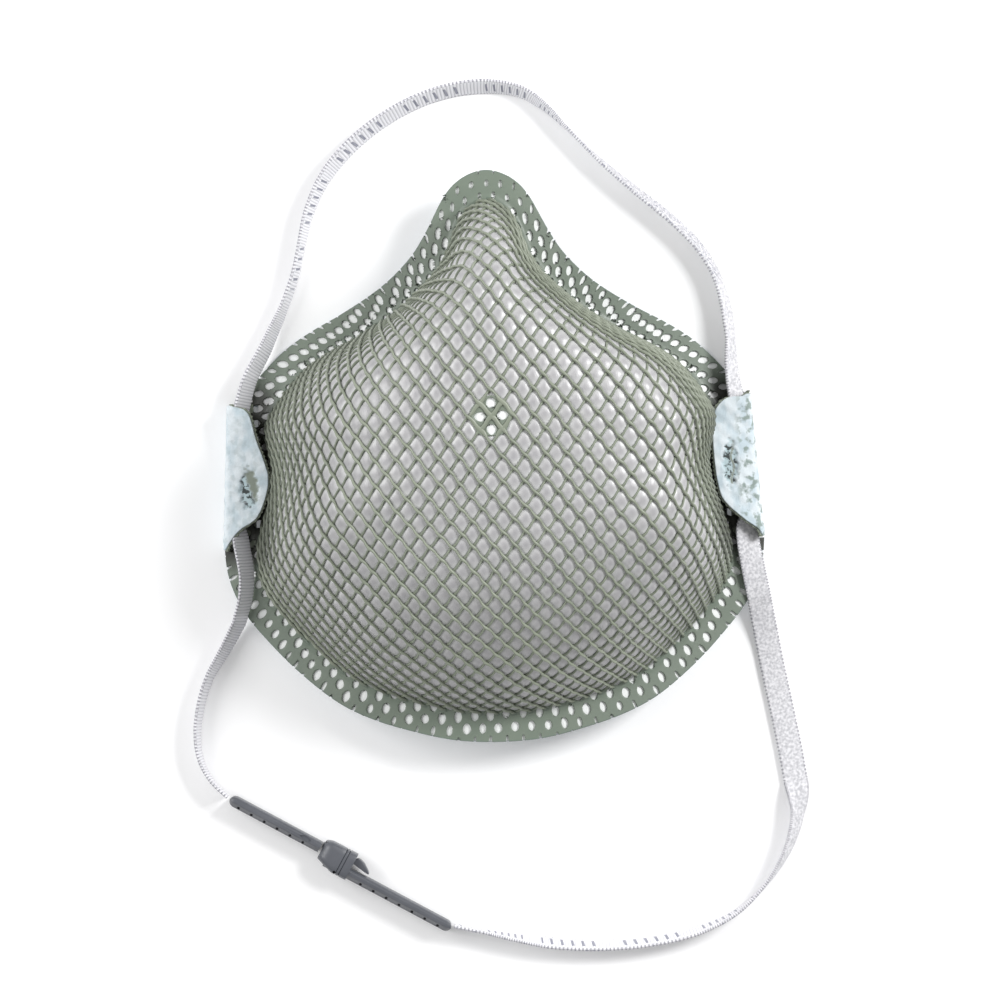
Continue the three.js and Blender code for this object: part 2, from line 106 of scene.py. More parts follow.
STRAP_LOWER_RIGHT = [
    (65.2, -40.1, 4.4), (67.2, -52, 3.8), (69.6, -64.6, 3.6), (71.8, -77.1, 3.6), (72.8, -86, 3.6),
    (71.6, -93.6, 3.6), (68.3, -101, 3.6), (63.4, -107.6, 3.6), (56.6, -113.4, 3.6),
    (46.6, -117.6, 3.6), (35.3, -119.8, 3.6), (24.8, -120.4, 3.6), (13.6, -119.8, 3.6),
    (3.8, -118.2, 3.6), (-5.5, -116.2, 3.6), (-12.3, -114.7, 3.6),
]

# ---- camera, straight above, and the light ----

VIEW_WIDTH = 244.5          # what the picture is wide, at the height of the rim
VIEW_CENTRE = (1.6, -10.8)
CAMERA_HEIGHT = 1250.0
RIM_HEIGHT = 5.0
ROLL = math.radians(-1.4)
SENSOR = 36.0
SKY = 0.50                  # how bright the white surroundings are
FLOOR_GLOW = 0.10           # the floor is a lit white table
AIM = (0, 0, 0.02)          # what both lights point at, in metres


def make_camera():
    data = bpy.data.cameras.new("camera")
    data.sensor_width = SENSOR
    data.lens = SENSOR * (CAMERA_HEIGHT - RIM_HEIGHT) / VIEW_WIDTH
    data.clip_start = 0.05
    data.clip_end = 20
    camera = bpy.data.objects.new("camera", data)
    camera.location = (VIEW_CENTRE[0] * MM, VIEW_CENTRE[1] * MM, CAMERA_HEIGHT * MM)
    camera.rotation_euler = (0, 0, ROLL)
    bpy.context.scene.collection.objects.link(camera)
    bpy.context.scene.camera = camera


def area_light(name, place, size, power):
    data = bpy.data.lights.new(name, "AREA")
    data.shape = "SQUARE"
    data.size = size
    data.energy = power
    light = bpy.data.objects.new(name, data)
    light.location = place
    light.rotation_euler = (Vector(AIM) - Vector(place)).to_track_quat("-Z", "Y").to_euler()
    bpy.context.scene.collection.objects.link(light)


def make_light():
    world = bpy.data.worlds.new("studio")
    world.use_nodes = True
    world.node_tree.nodes["Background"].inputs["Color"].default_value = (1, 1, 1, 1)
    world.node_tree.nodes["Background"].inputs["Strength"].default_value = SKY
    bpy.context.scene.world = world
    area_light("key", (0.70, 0.36, 0.72), 0.34, 10.0)
    area_light("fill", (-0.62, 0.20, 0.52), 0.5, 4.2)
    bpy.context.scene.view_settings.view_transform = "Standard"
    bpy.context.scene.view_settings.look = "None"


# ---- curves ----

def smooth_path(points, closed=False, per_span=16):
    """The centripetal Catmull-Rom curve through the points."""
    p = np.asarray(points, float)
    if closed:
        ring = np.vstack([p[-1:], p, p[:2]])
    else:
        ring = np.vstack([2 * p[:1] - p[1:2], p, 2 * p[-1:] - p[-2:-1]])
    t = np.linspace(0, 1, per_span, endpoint=False)[:, None]
    out = []
    for a, b, c, d in zip(ring[:-3], ring[1:-2], ring[2:-1], ring[3:]):
        ab, bc, cd = (math.sqrt(np.linalg.norm(v - u)) for u, v in ((a, b), (b, c), (c, d)))
        m1 = ((b - a) / ab - (c - a) / (ab + bc) + (c - b) / bc) * bc
        m2 = ((c - b) / bc - (d - b) / (bc + cd) + (d - c) / cd) * bc
        out.append(b + m1 * t + (-3 * b + 3 * c - 2 * m1 - m2) * t**2 + (2 * b - 2 * c + m1 + m2) * t**3)
    if not closed:
        out.append(p[-1:])
    return np.vstack(out)


def unit(vectors):
    return vectors / np.maximum(np.linalg.norm(vectors, axis=-1, keepdims=True), 1e-12)


def round_turns(count, start=0):
    """The angles of count points evenly round a circle."""
    return (np.arange(count) + start) * 2 * math.pi / count


def squarer(values, power):
    """A circle's sines or cosines, for a section between an oval and a box."""
    return np.sign(values) * np.abs(values) ** power


def lengths(path):
    """How far along the path each of its points is."""
    return np.concatenate([[0], np.cumsum(np.linalg.norm(np.diff(path, axis=0), axis=1))])


def spaced(path, step):
    """The path with its points step apart, and how far along it each point is."""
    length = lengths(path)
    count = max(2, int(round(length[-1] / step)) + 1)
    along = np.linspace(0, length[-1], count)
    return np.stack([np.interp(along, length, path[:, k]) for k in range(path.shape[1])], 1), along


def smoothstep(x, low, high):
    t = np.clip((x - low) / (high - low), 0, 1)
    return t * t * (3 - 2 * t)


def bell(sigma):
    """A Gaussian blur's weights, and how many lie on each side of the middle one."""
    reach = int(3 * sigma)
    kernel = np.exp(-0.5 * (np.arange(-reach, reach + 1) / sigma) ** 2)
    return kernel / kernel.sum(), reach


def blurred(rows, sigma):
    """Rows blurred along their second axis, with straight lines kept straight at the end."""
    kernel, reach = bell(sigma)
    head = np.repeat(rows[:, :1], reach, 1)
    tail = 2 * rows[:, -1:] - rows[:, -reach - 1:-1][:, ::-1]
    padded = np.concatenate([head, rows, tail], 1)
    return sum(w * padded[:, k:k + rows.shape[1]] for k, w in enumerate(kernel))


def round_blurred(values, sigma):
    """Values round a ring, blurred."""
    kernel, reach = bell(sigma)
    return sum(w * np.roll(values, k - reach) for k, w in enumerate(kernel))


# ---- the cup's surface ----

COLUMNS = 1440              # round the crown
ROWS = 480                  # from the crown to the flange's edge
RADIUS_BLUR = 5             # in columns
SLOPE_SPAN = 8              # in columns to each side
WALL_SAMPLES = 400
FLANGE_SAMPLES = 60
ROW_BLUR = 4                # in rows
BLUR_STARTS = (20, 60)      # the rows between which it sets in


class Cup:
    """The outer surface: a table of points over the angle about the crown and the way along the surface."""

    def __init__(self):
        mirrored = [(-x, y) for x, y in EDGE_HALF[-2:0:-1]]
        edge = smooth_path(EDGE_HALF + mirrored, closed=True) - (0, CROWN_Y)
        angle = np.arctan2(edge[:, 1], edge[:, 0])
        order = np.argsort(angle)
        self.turns = round_turns(COLUMNS) - math.pi
        radius = np.interp(self.turns, angle[order], np.hypot(*edge[order].T), period=2 * math.pi)
        radius = round_blurred(radius, RADIUS_BLUR)
        rise = np.roll(radius, -SLOPE_SPAN) - np.roll(radius, SLOPE_SPAN)
        slope = rise / (2 * SLOPE_SPAN * 2 * math.pi / COLUMNS)
        y = CROWN_Y + radius * np.sin(self.turns)
        side = np.exp(-(((y - FLANGE_SIDE_Y) / FLANGE_SIDE_REACH) ** 2))
        gain = FLANGE_SIDE + np.where(np.cos(self.turns) > 0, FLANGE_RIGHT, 0)
        foot = radius - (FLANGE + gain * side) * np.hypot(1, slope / radius)
        self.foot_radius = round_blurred(foot, RADIUS_BLUR)
        self.edge_radius = radius
        self.lay_out()

    def lay_out(self):
        turn = self.turns[:, None]
        foot, edge = self.foot_radius[:, None], self.edge_radius[:, None]
        lengthwise = np.sin(turn) ** 2
        foot_z = FOOT_SIDE_Z + FOOT_RISE * lengthwise**2
        power = FLAT_TOP + SHOULDER * np.exp(-(((turn - SHOULDER_TURN) / SHOULDER_SPREAD) ** 2))
        reach = np.linspace(0, 1, WALL_SAMPLES)[None, :]
        out = 1 - (1 - reach) ** CROWDING
        wall_r = out * CROWN_RADIUS + out**3 * (foot - CROWN_RADIUS)
        wall = 1 - (1 - out**power) ** WALL_BEND
        wall_z = CUP_HEIGHT - (CUP_HEIGHT - foot_z) * (DOME * out**2 + (1 - DOME) * wall)
        beyond = np.linspace(0, 1, FLANGE_SAMPLES)[None, 1:]
        flange_r = foot + (edge - foot) * beyond
        flange_z = foot_z - FLANGE_DROP * (1 - lengthwise) * beyond
        r = np.concatenate([wall_r, flange_r], 1)
        z = np.concatenate([wall_z, flange_z], 1)
        length = np.concatenate([np.zeros((COLUMNS, 1)), np.cumsum(np.hypot(np.diff(r), np.diff(z)), 1)], 1)
        self.foot_way, self.edge_way = length[:, reach.size - 1], length[:, -1]
        share = np.linspace(0, 1, ROWS)
        r = np.stack([np.interp(share * w[-1], w, v) for w, v in zip(length, r)])
        z = np.stack([np.interp(share * w[-1], w, v) for w, v in zip(length, z)])
        settled = smoothstep(np.arange(ROWS), *BLUR_STARTS)[None, :]
        r = r + settled * (blurred(r, ROW_BLUR) - r)
        z = z + settled * (blurred(z, ROW_BLUR) - z)
        x, y = r * np.cos(turn), CROWN_Y + r * np.sin(turn)
        self.points = np.stack([x, y, z], 2)
        around = np.roll(self.points, -1, 0) - np.roll(self.points, 1, 0)
        down = np.gradient(self.points, axis=1)
        normal = unit(np.cross(down, around))
        normal[:, :3] = (0, 0, 1)  # next to the crown, where the columns meet
        self.normals = normal

    def sample(self, table, turn, share):
        """A table's value at an angle and at a share of the way to the edge."""
        col = ((turn + math.pi) / (2 * math.pi) * COLUMNS) % COLUMNS
        row = np.clip(share, 0, 1) * (ROWS - 1)
        c0 = np.floor(col).astype(int) % COLUMNS
        c1 = (c0 + 1) % COLUMNS
        r0 = np.minimum(row.astype(int), ROWS - 2)
        fc, fr = (col - np.floor(col))[..., None], (row - r0)[..., None]
        near = table[c0, r0] * (1 - fr) + table[c0, r0 + 1] * fr
        far = table[c1, r0] * (1 - fr) + table[c1, r0 + 1] * fr
        return near * (1 - fc) + far * fc

    def ways(self, turn):
        """How far the foot and the edge are from the crown, along the surface."""
        return (
            np.interp(turn, self.turns, self.foot_way, period=2 * math.pi),
            np.interp(turn, self.turns, self.edge_way, period=2 * math.pi),
        )

    def top(self, x, y):
        """How high the outer surface is over a place on the floor, and nothing outside the edge."""
        out = np.empty(np.shape(x))
        for i, (px, py) in enumerate(zip(x, y - CROWN_Y)):
            turn_share = (math.atan2(py, px) + math.pi) / (2 * math.pi)
            column = self.points[int(round(turn_share * COLUMNS)) % COLUMNS]
            radius = np.hypot(column[:, 0], column[:, 1] - CROWN_Y)
            out[i] = np.interp(math.hypot(px, py), radius, column[:, 2], right=0)
        return out

    def at(self, turn, way, depth=0.0):
        """The point that lies way along the surface from the crown, depth under it, and the normal there."""
        turn, way = np.broadcast_arrays(np.asarray(turn, float), np.asarray(way, float))
        share = way / self.ways(turn)[1]
        normal = unit(self.sample(self.normals, turn, share))
        point = self.sample(self.points, turn, share)
        return point - normal * np.asarray(depth)[..., None], normal


cup = Cup()

# ---- meshes ----


def new_mesh(name, points, faces, attributes=None, smooth=True):
    """A mesh object from points in millimetres and faces of one size."""
    faces = np.asarray(faces, np.int32)
    mesh = bpy.data.meshes.new(name)
    mesh.vertices.add(len(points))
    mesh.vertices.foreach_set("co", (np.asarray(points, float) * MM).astype(np.float32).ravel())
    mesh.loops.add(faces.size)
    mesh.loops.foreach_set("vertex_index", faces.ravel())
    mesh.polygons.add(len(faces))
    mesh.polygons.foreach_set("loop_start", np.arange(0, faces.size, faces.shape[1], dtype=np.int32))
    for key, values in (attributes or {}).items():
        layer = mesh.attributes.new(key, "FLOAT", "POINT")
        layer.data.foreach_set("value", np.asarray(values, np.float32).ravel())
    mesh.update(calc_edges=True)
    mesh.validate()
    if smooth:
        mesh.polygons.foreach_set("use_smooth", np.ones(len(mesh.polygons), bool))
    piece = bpy.data.objects.new(name, mesh)
    bpy.context.scene.collection.objects.link(piece)
    return piece


def grid_faces(rows, columns, closed=False):
    """Quads over a grid of rows by columns, whose rows close on themselves where closed."""
    i = np.arange(rows - 1)[:, None]
    j = np.arange(columns if closed else columns - 1)[None, :]
    k = (j + 1) % columns
    corners = [i * columns + j, i * columns + k, (i + 1) * columns + k, (i + 1) * columns + j]
    return np.stack([np.broadcast_to(c, (rows - 1, j.size)).ravel() for c in corners], 1)


def loft_faces(rings, sides):
    """Quads over rings with an even number of sides each, and over both ends."""
    cap = np.array([(k, k + 1, sides - 2 - k, sides - 1 - k) for k in range(sides // 2 - 1)])
    return np.vstack([grid_faces(rings, sides, closed=True), cap, cap + (rings - 1) * sides])


def slab_faces(rows, columns):
    """Quads of a closed slab: one grid of points, then a second one under it, joined round their borders."""
    count = rows * columns
    upper = grid_faces(rows, columns)
    lower = upper[:, ::-1] + count
    index = np.arange(count).reshape(rows, columns)
    border = np.concatenate([index[0, :-1], index[:-1, -1], index[-1, :0:-1], index[:0:-1, 0]])
    following = np.roll(border, -1)
    rim = np.stack([following, border, border + count, following + count], 1)
    return np.vstack([upper, lower, rim])


def outward(piece):
    """Turns a closed mesh's faces so that they all point out."""
    shape = bmesh.new()
    shape.from_mesh(piece.data)
    bmesh.ops.recalc_face_normals(shape, faces=shape.faces)
    shape.to_mesh(piece.data)
    shape.free()


def finish_piece(piece, material, *nodes, body="mask"):
    """Gives a piece its looks, its body and the nodes of the frame that it stands for."""
    piece.data.materials.append(material)
    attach(piece, body)
    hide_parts(*nodes)
    return piece


# ---- materials ----

EDGE_DOT_PITCH = 0.95       # between the loops along the strap's edge
DASH_PITCH = 2.6            # between the plain dashes that stand in for the strap's print
DASH_GROUP = 21.0           # between the groups that they come in


class Nodes:
    """A material's node tree, with short calls for the nodes that these materials use."""

    def __init__(self, name):
        self.material = bpy.data.materials.new(name)
        self.material.use_nodes = True
        self.tree = self.material.node_tree
        self.shader = self.tree.nodes["Principled BSDF"]
        self.place = self.add("ShaderNodeTexCoord").outputs["Object"]

    def add(self, kind, **settings):
        node = self.tree.nodes.new(kind)
        for key, value in settings.items():
            setattr(node, key, value)
        return node

    def put(self, value, socket):
        """Gives a socket a number, a colour or another socket's value."""
        if isinstance(value, bpy.types.NodeSocket):
            self.tree.links.new(value, socket)
        else:
            socket.default_value = (*value, 1) if isinstance(value, tuple) else value

    def attribute(self, name):
        return self.add("ShaderNodeAttribute", attribute_name=name).outputs["Fac"]

    def noise(self, scale, detail=3, stretch=(1, 1, 1)):
        mapping = self.add("ShaderNodeMapping")
        mapping.inputs["Scale"].default_value = stretch
        self.put(self.place, mapping.inputs["Vector"])
        node = self.add("ShaderNodeTexNoise")
        node.inputs["Scale"].default_value = scale
        node.inputs["Detail"].default_value = detail
        self.put(mapping.outputs["Vector"], node.inputs["Vector"])
        return node.outputs["Fac"]

    def cells(self, scale):
        node = self.add("ShaderNodeTexVoronoi")
        node.inputs["Scale"].default_value = scale
        self.put(self.place, node.inputs["Vector"])
        return node.outputs["Distance"]

    def ramp(self, value, *stops):
        node = self.add("ShaderNodeValToRGB")
        points = node.color_ramp.elements
        for spare in range(len(stops) - 2):
            points.new(0.5)
        for point, (place, colour) in zip(points, stops):
            point.position = place
            point.color = (*colour, 1)
        self.put(value, node.inputs["Fac"])
        return node.outputs["Color"]

    def mix(self, fac, a, b, kind="MIX"):
        node = self.add("ShaderNodeMix", data_type="RGBA", blend_type=kind)
        self.put(fac, node.inputs["Factor"])
        self.put(a, node.inputs["A"])
        self.put(b, node.inputs["B"])
        return node.outputs["Result"]

    def maths(self, operation, a, b=0.0):
        node = self.add("ShaderNodeMath", operation=operation)
        self.put(a, node.inputs[0])
        self.put(b, node.inputs[1])
        return node.outputs["Value"]

    def product(self, first, *others):
        for other in others:
            first = self.maths("MULTIPLY", first, other)
        return first

    def wave(self, value, pitch):
        return self.maths("SINE", self.product(value, 2 * math.pi / pitch))

    def bump(self, height, depth, strength=1.0):
        node = self.add("ShaderNodeBump")
        node.inputs["Strength"].default_value = strength
        node.inputs["Distance"].default_value = depth * MM
        self.put(height, node.inputs["Height"])
        previous = self.shader.inputs["Normal"]
        for link in previous.links:
            self.put(link.from_socket, node.inputs["Normal"])
        self.put(node.outputs["Normal"], previous)

    def colour(self, value):
        self.put(value, self.shader.inputs["Base Color"])

    def roughness(self, value):
        self.put(value, self.shader.inputs["Roughness"])


def net_material():
    """Grey-green moulded plastic: a soft sheen, paler by a set tone that is highest on the upper strands,
    darker where it is pressed flat, and painted shade, near black, in the pockets beside the tabs.
    """
    n = Nodes("net_plastic")
    cloud = n.noise(90, 4)
    fine = n.noise(1400, 2)
    green = n.ramp(cloud, (0.3, (0.150, 0.178, 0.135)), (0.7, (0.205, 0.232, 0.178)))
    pale = n.mix(n.attribute("paleness"), green, (0.27, 0.295, 0.23))
    flat = n.mix(n.attribute("pressed"), pale, (0.135, 0.175, 0.145))
    # painted shade: near black in the pockets beside the tabs
    n.colour(n.mix(n.attribute("pocket_shade"), flat, (0.022, 0.024, 0.018)))
    n.roughness(n.maths("ADD", n.product(fine, 0.25), 0.30))
    n.bump(fine, 0.05, 0.5)
    return n.material


def web_material():
    """Grey spunbonded web: fibrous pillows, paler round their rims, with painted shade in the creases where
    they dip under the strands; white where it is pressed flat, dimmed there by painted shade beside the tabs.
    """
    n = Nodes("cover_web")
    fibres = n.noise(2600, 3, (1, 0.35, 1))
    flecks = n.noise(700, 3)
    pillow = n.attribute("pillow")
    # painted shade: the ramp's dark end darkens the creases where the pillows meet the strands
    tone = n.ramp(
        pillow, (0.0, (0.09, 0.095, 0.09)), (0.16, (0.52, 0.525, 0.52)), (0.45, (0.62, 0.62, 0.625)),
        (1.0, (0.36, 0.355, 0.365)),
    )
    grain = n.ramp(flecks, (0.3, (0.88, 0.88, 0.89)), (0.7, (1.0, 1.0, 0.99)))
    toned = n.mix(1.0, tone, grain, "MULTIPLY")
    n.colour(n.mix(n.attribute("white"), toned, (0.84, 0.855, 0.85)))
    n.roughness(0.36)
    n.shader.inputs["Specular IOR Level"].default_value = 0.7
    n.bump(fibres, 0.08, 0.6)
    return n.material


def liner_material():
    """Soft white nonwoven with a faint blue tint and wavy embossed flecks, crushed grey-green at a weld."""
    n = Nodes("liner_fabric")
    flecks = n.noise(420, 2, (1, 0.45, 1))
    fibres = n.noise(2800, 4)
    tint = n.ramp(flecks, (0.38, (0.52, 0.61, 0.66)), (0.58, (0.68, 0.74, 0.775)))
    spots = n.ramp(n.noise(560, 2), (0.50, (0, 0, 0)), (0.62, (1, 1, 1)))
    mottled = n.mix(n.product(n.attribute("mottle"), spots), tint, (0.27, 0.33, 0.31))
    crushed = n.ramp(n.noise(900, 2), (0.42, (0.05, 0.06, 0.06)), (0.52, (0.45, 0.56, 0.59)))
    dotted = n.mix(n.attribute("crushed"), mottled, crushed)
    bare = n.mix(n.attribute("bare"), dotted, (0.23, 0.26, 0.22))
    grain = n.ramp(fibres, (0.3, (0.93, 0.93, 0.93)), (0.7, (1.0, 1.0, 1.0)))
    n.colour(n.mix(1.0, bare, grain, "MULTIPLY"))
    n.roughness(0.9)
    n.shader.inputs["Sheen Weight"].default_value = 0.2
    n.bump(flecks, 0.3, 0.6)
    n.bump(fibres, 0.06, 0.6)
    return n.material


def felt_material():
    """The thick filter felt between the web and the lining: pale, matted fibre."""
    n = Nodes("filter_media")
    n.colour(n.ramp(n.noise(900, 4), (0.3, (0.52, 0.52, 0.50)), (0.7, (0.66, 0.66, 0.64))))
    n.roughness(0.95)
    n.bump(n.noise(1800, 4), 0.2, 0.8)
    return n.material


def foam_material():
    """Closed-cell foam: off-white, finely pitted."""
    n = Nodes("nose_foam")
    pits = n.cells(1300)
    n.colour(n.ramp(pits, (0.1, (0.48, 0.47, 0.44)), (0.6, (0.72, 0.71, 0.67))))
    n.roughness(0.85)
    n.bump(pits, 0.25, 0.8)
    return n.material


def strap_material():
    """White knitted elastic: ribs across its face with painted shade in their grooves, a finer knit behind,
    and looped edges with painted shadows between the loops.
    """
    n = Nodes("strap_elastic")
    across, along, back = n.attribute("across"), n.attribute("along"), n.attribute("back")
    from_middle = n.maths("ABSOLUTE", across)
    # the rib crests are the elastic's own white; the grooves between them are darkened with painted shade
    ribs_and_groove_shade = n.ramp(
        n.attribute("rib"), (0.0, (0.40, 0.40, 0.43)), (0.35, (0.68, 0.675, 0.71)),
        (1.0, (0.83, 0.825, 0.86)),
    )
    knit = n.ramp(n.noise(1500, 2, (1, 1, 0.6)), (0.35, (0.46, 0.46, 0.485)), (0.65, (0.72, 0.715, 0.74)))
    base = n.mix(back, ribs_and_groove_shade, knit)
    # painted shadows: dark dots between the loops along the strap's edges
    edge = n.maths("GREATER_THAN", from_middle, 0.86)
    loop_shadows = n.maths("GREATER_THAN", n.wave(along, EDGE_DOT_PITCH), 0.25)
    dotted = n.mix(n.product(loop_shadows, edge, 0.6), base, (0.10, 0.10, 0.13))
    dash = n.maths("GREATER_THAN", n.wave(n.maths("ADD", along, n.product(across, 0.4)), DASH_PITCH), 0.66)
    group = n.maths("GREATER_THAN", n.wave(along, DASH_GROUP), -0.6)
    marks = n.product(dash, group, n.maths("LESS_THAN", from_middle, 0.55), n.maths("SUBTRACT", 1.0, back))
    specks = n.product(n.maths("GREATER_THAN", n.noise(1900, 1), 0.60), back)
    inked = n.product(n.maths("ADD", marks, specks), n.attribute("printed"), 0.75)
    n.colour(n.mix(inked, dotted, (0.10, 0.11, 0.17)))
    n.roughness(0.75)
    n.shader.inputs["Sheen Weight"].default_value = 0.15
    n.bump(n.noise(3200, 3), 0.08, 0.6)
    return n.material


def buckle_material():
    """Dark blue-grey moulded plastic, satin, with fine flow marks."""
    n = Nodes("buckle_plastic")
    flow = n.noise(160, 5, (0.25, 1, 1))
    fine = n.noise(2400, 2)
    n.colour(n.ramp(flow, (0.3, (0.070, 0.075, 0.088)), (0.7, (0.105, 0.110, 0.125))))
    n.roughness(n.maths("ADD", n.product(fine, 0.3), 0.22))
    n.bump(flow, 0.06, 0.5)
    n.bump(fine, 0.02, 0.5)
    return n.material


net_plastic = net_material()
cover_web_cloth = web_material()
liner_cloth = liner_material()
filter_felt = felt_material()
foam_white = foam_material()
strap_elastic = strap_material()
buckle_plastic = buckle_material()

# ---- the net ----

CELL_X = 5.1                # a cell's diagonals in the flat net
CELL_Y = 6.15
CELL_SKEW = 0.025           # how far a row of cells climbs to the right
KINK = 0.08                 # how far a strand swings to each side between crossings
STRAND_STEP = 0.45          # between the points along a strand
STRAND_SIDES = 8
FOOT_OVERLAP = 0.7          # how far a strand runs on into the flange
NET_RADIUS = 95.0           # the flat net's reach from the crown
CROWN_WELD = 4.7            # radius of the pressed spot on the crown
# Each family's depth under the cup's surface, its width, and how far both swing at a crossing.
STRANDS = {"over": (0.50, -0.12, 0.64, 0.12), "under": (0.98, 0.14, 0.62, 0.14)}
STRAND_HEIGHT = 0.78
PRESSED_DEPTH = 0.75        # where a strand is pressed flat
PRESSED_WIDER = 0.55
PRESSED_LOWER = 0.35
POCKET_X = (51, 56)         # the pockets of painted shade beside the tabs: how far out they set in
POCKET_REACH = (1, 8)       # and how far from a tab's mouth they end


def flat_to_polar(x, y):
    return np.arctan2(y, x), np.hypot(x, y)


def strand_lines(family):
    """Each strand of one family as the flat net has it: lines on which a + b or a - b is whole."""
    side = math.hypot(CELL_X, CELL_Y) / 2
    most = int(2 * NET_RADIUS / min(CELL_X, CELL_Y))
    other = np.arange(-most, most, STRAND_STEP / side)
    for index in range(-most, most + 1):
        own = np.full_like(other, index)
        a, b = (own, other) if family == "over" else (other, own)
        yield a, b


def net_to_flat(a, b):
    """From the net's own numbers, whole along its strands, to the flat sheet, which wavers slightly."""
    x = CELL_X * (a + b) / 2
    y = CELL_Y * (a - b) / 2 + CELL_SKEW * x
    waver_x = 0.16 * np.sin(0.9 * a + 0.35 * b) + 0.10 * np.sin(2.3 * b + 1)
    waver_y = 0.16 * np.sin(0.8 * b - 0.4 * a + 2) + 0.10 * np.sin(2.1 * a)
    kink_over, kink_under = np.sin(2 * math.pi * b), np.sin(2 * math.pi * a)
    return x + waver_x + KINK * (kink_over + kink_under), y + waver_y + KINK * (kink_over - kink_under)


def runs(mask):
    """The first and last index of each unbroken stretch of True, of more than three."""
    edges = np.flatnonzero(np.diff(np.concatenate([[0], mask.astype(int), [0]])))
    return [(i, j) for i, j in zip(edges[::2], edges[1::2]) if j - i > 3]


def tube(points, normals, width, height):
    """Rings and quads of a closed flattened tube: its width is across the normal and its height along it."""
    along = unit(np.gradient(points, axis=0))
    across = unit(np.cross(along, normals))
    up = np.cross(across, along)
    turn = round_turns(STRAND_SIDES)
    ring = (
        points[:, None]
        + across[:, None] * (np.cos(turn)[None, :, None] * np.asarray(width)[:, None, None] / 2)
        + up[:, None] * (np.sin(turn)[None, :, None] * np.asarray(height)[:, None, None] / 2)
    )
    return ring.reshape(-1, 3), loft_faces(len(points), STRAND_SIDES)


def strand_shape(family, a, b, way, foot):
    """Depth, width and height of a strand: it rides over or under at crossings, and is pressed flat at the
    crown weld and toward the flange."""
    depth, depth_swing, width, width_swing = STRANDS[family]
    crossing = np.cos(2 * math.pi * (b if family == "over" else a))
    depth = depth + depth_swing * crossing
    width = width + width_swing * crossing
    melted = smoothstep(way, foot - 1.5, foot + 0.6)
    welded = 1 - smoothstep(way, CROWN_WELD - 1.0, CROWN_WELD + 1.2)
    pressed = np.maximum(melted, welded)
    depth = depth + (PRESSED_DEPTH - depth) * pressed
    return depth, width + PRESSED_WIDER * pressed, STRAND_HEIGHT - PRESSED_LOWER * pressed


def shade_in_pocket(place):
    """How much painted shade a place gets in the pocket beside a tab's mouth, from 0 to 1."""
    beside = np.abs(place[..., 1] - TAB_Y) - TAB_HALF
    return smoothstep(np.abs(place[..., 0]), *POCKET_X) * (1 - smoothstep(beside, *POCKET_REACH))


def net_strands(family):
    points, faces, base = [], [], 0
    tones = {"paleness": [], "pressed": [], "pocket_shade": []}
    for a, b in strand_lines(family):
        turn, way = flat_to_polar(*net_to_flat(a, b))
        foot, _ = cup.ways(turn)
        for first, last in runs(way < foot + FOOT_OVERLAP):
            cut = slice(first, last)
            depth, width, height = strand_shape(family, a[cut], b[cut], way[cut], foot[cut])
            where, normal = cup.at(turn[cut], way[cut], depth)
            ring, quads = tube(where, normal, width, height)
            points.append(ring)
            faces.append(quads + base)
            base += len(ring)
            # a set paleness for each strand, random and higher on the upper strands
            paleness = 0.25 + 0.25 * random.random() + (0.25 if family == "over" else 0)
            tones["paleness"].append(np.full(len(ring), paleness))
            pressed = smoothstep(way[cut], foot[cut] - 1.5, foot[cut] + 0.3)
            tones["pressed"].append(np.repeat(pressed, STRAND_SIDES))
            # painted shade in the pockets beside the tabs
            tones["pocket_shade"].append(np.repeat(0.6 * shade_in_pocket(where), STRAND_SIDES))
    joined = {key: np.concatenate(values) for key, values in tones.items()}
    piece = new_mesh(f"net_strands_{family}", np.vstack(points), np.vstack(faces), joined)
    outward(piece)
    return finish_piece(piece, net_plastic, "net_shell")


def net_numbers(turn, way):
    """The net's own numbers at a place on the cup, without the waver."""
    x, y = way * np.cos(turn), way * np.sin(turn)
    y = y - CELL_SKEW * x
    return x / CELL_X + y / CELL_Y, x / CELL_X - y / CELL_Y


def cell_middle(turn, way):
    """1 in the middle of each of the net's cells, and 0 under its strands."""
    a, b = net_numbers(turn, way)
    return np.abs(np.sin(math.pi * a) * np.sin(math.pi * b))


# ---- the pillowed web under the net ----

WEB_DEPTH = 1.45
WEB_BULGE = 0.75
TAB_CUT = 0.3               # how far the cuts for a tab lie from its two ends
SQUEEZE = 0.003             # what is left of a ply's reach where it is drawn in


def polar_grid(round_count, first, last, step):
    """Angles and ways over a band of the cup: first and last are functions of the angle."""
    turn = round_turns(round_count) - math.pi
    start, end = first(turn), last(turn)
    rows = int(math.ceil(np.max(end - start) / step)) + 1
    share = np.linspace(0, 1, rows)[:, None]
    return np.broadcast_to(turn, (rows, round_count)), start + (end - start) * share


def drawn_in(place):
    """A ply's points with those beyond a tab's root drawn in to it: the tab is cut from the same ply."""
    at_tab = np.abs(place[..., 1] - TAB_Y) < TAB_HALF + TAB_CUT
    reach = np.abs(place[..., 0])
    root = TAB_ROOT_X - 1
    drawn = np.where(at_tab & (reach > root), root + SQUEEZE * (reach - root), reach)
    return np.stack([np.sign(place[..., 0]) * drawn, place[..., 1], place[..., 2]], -1)


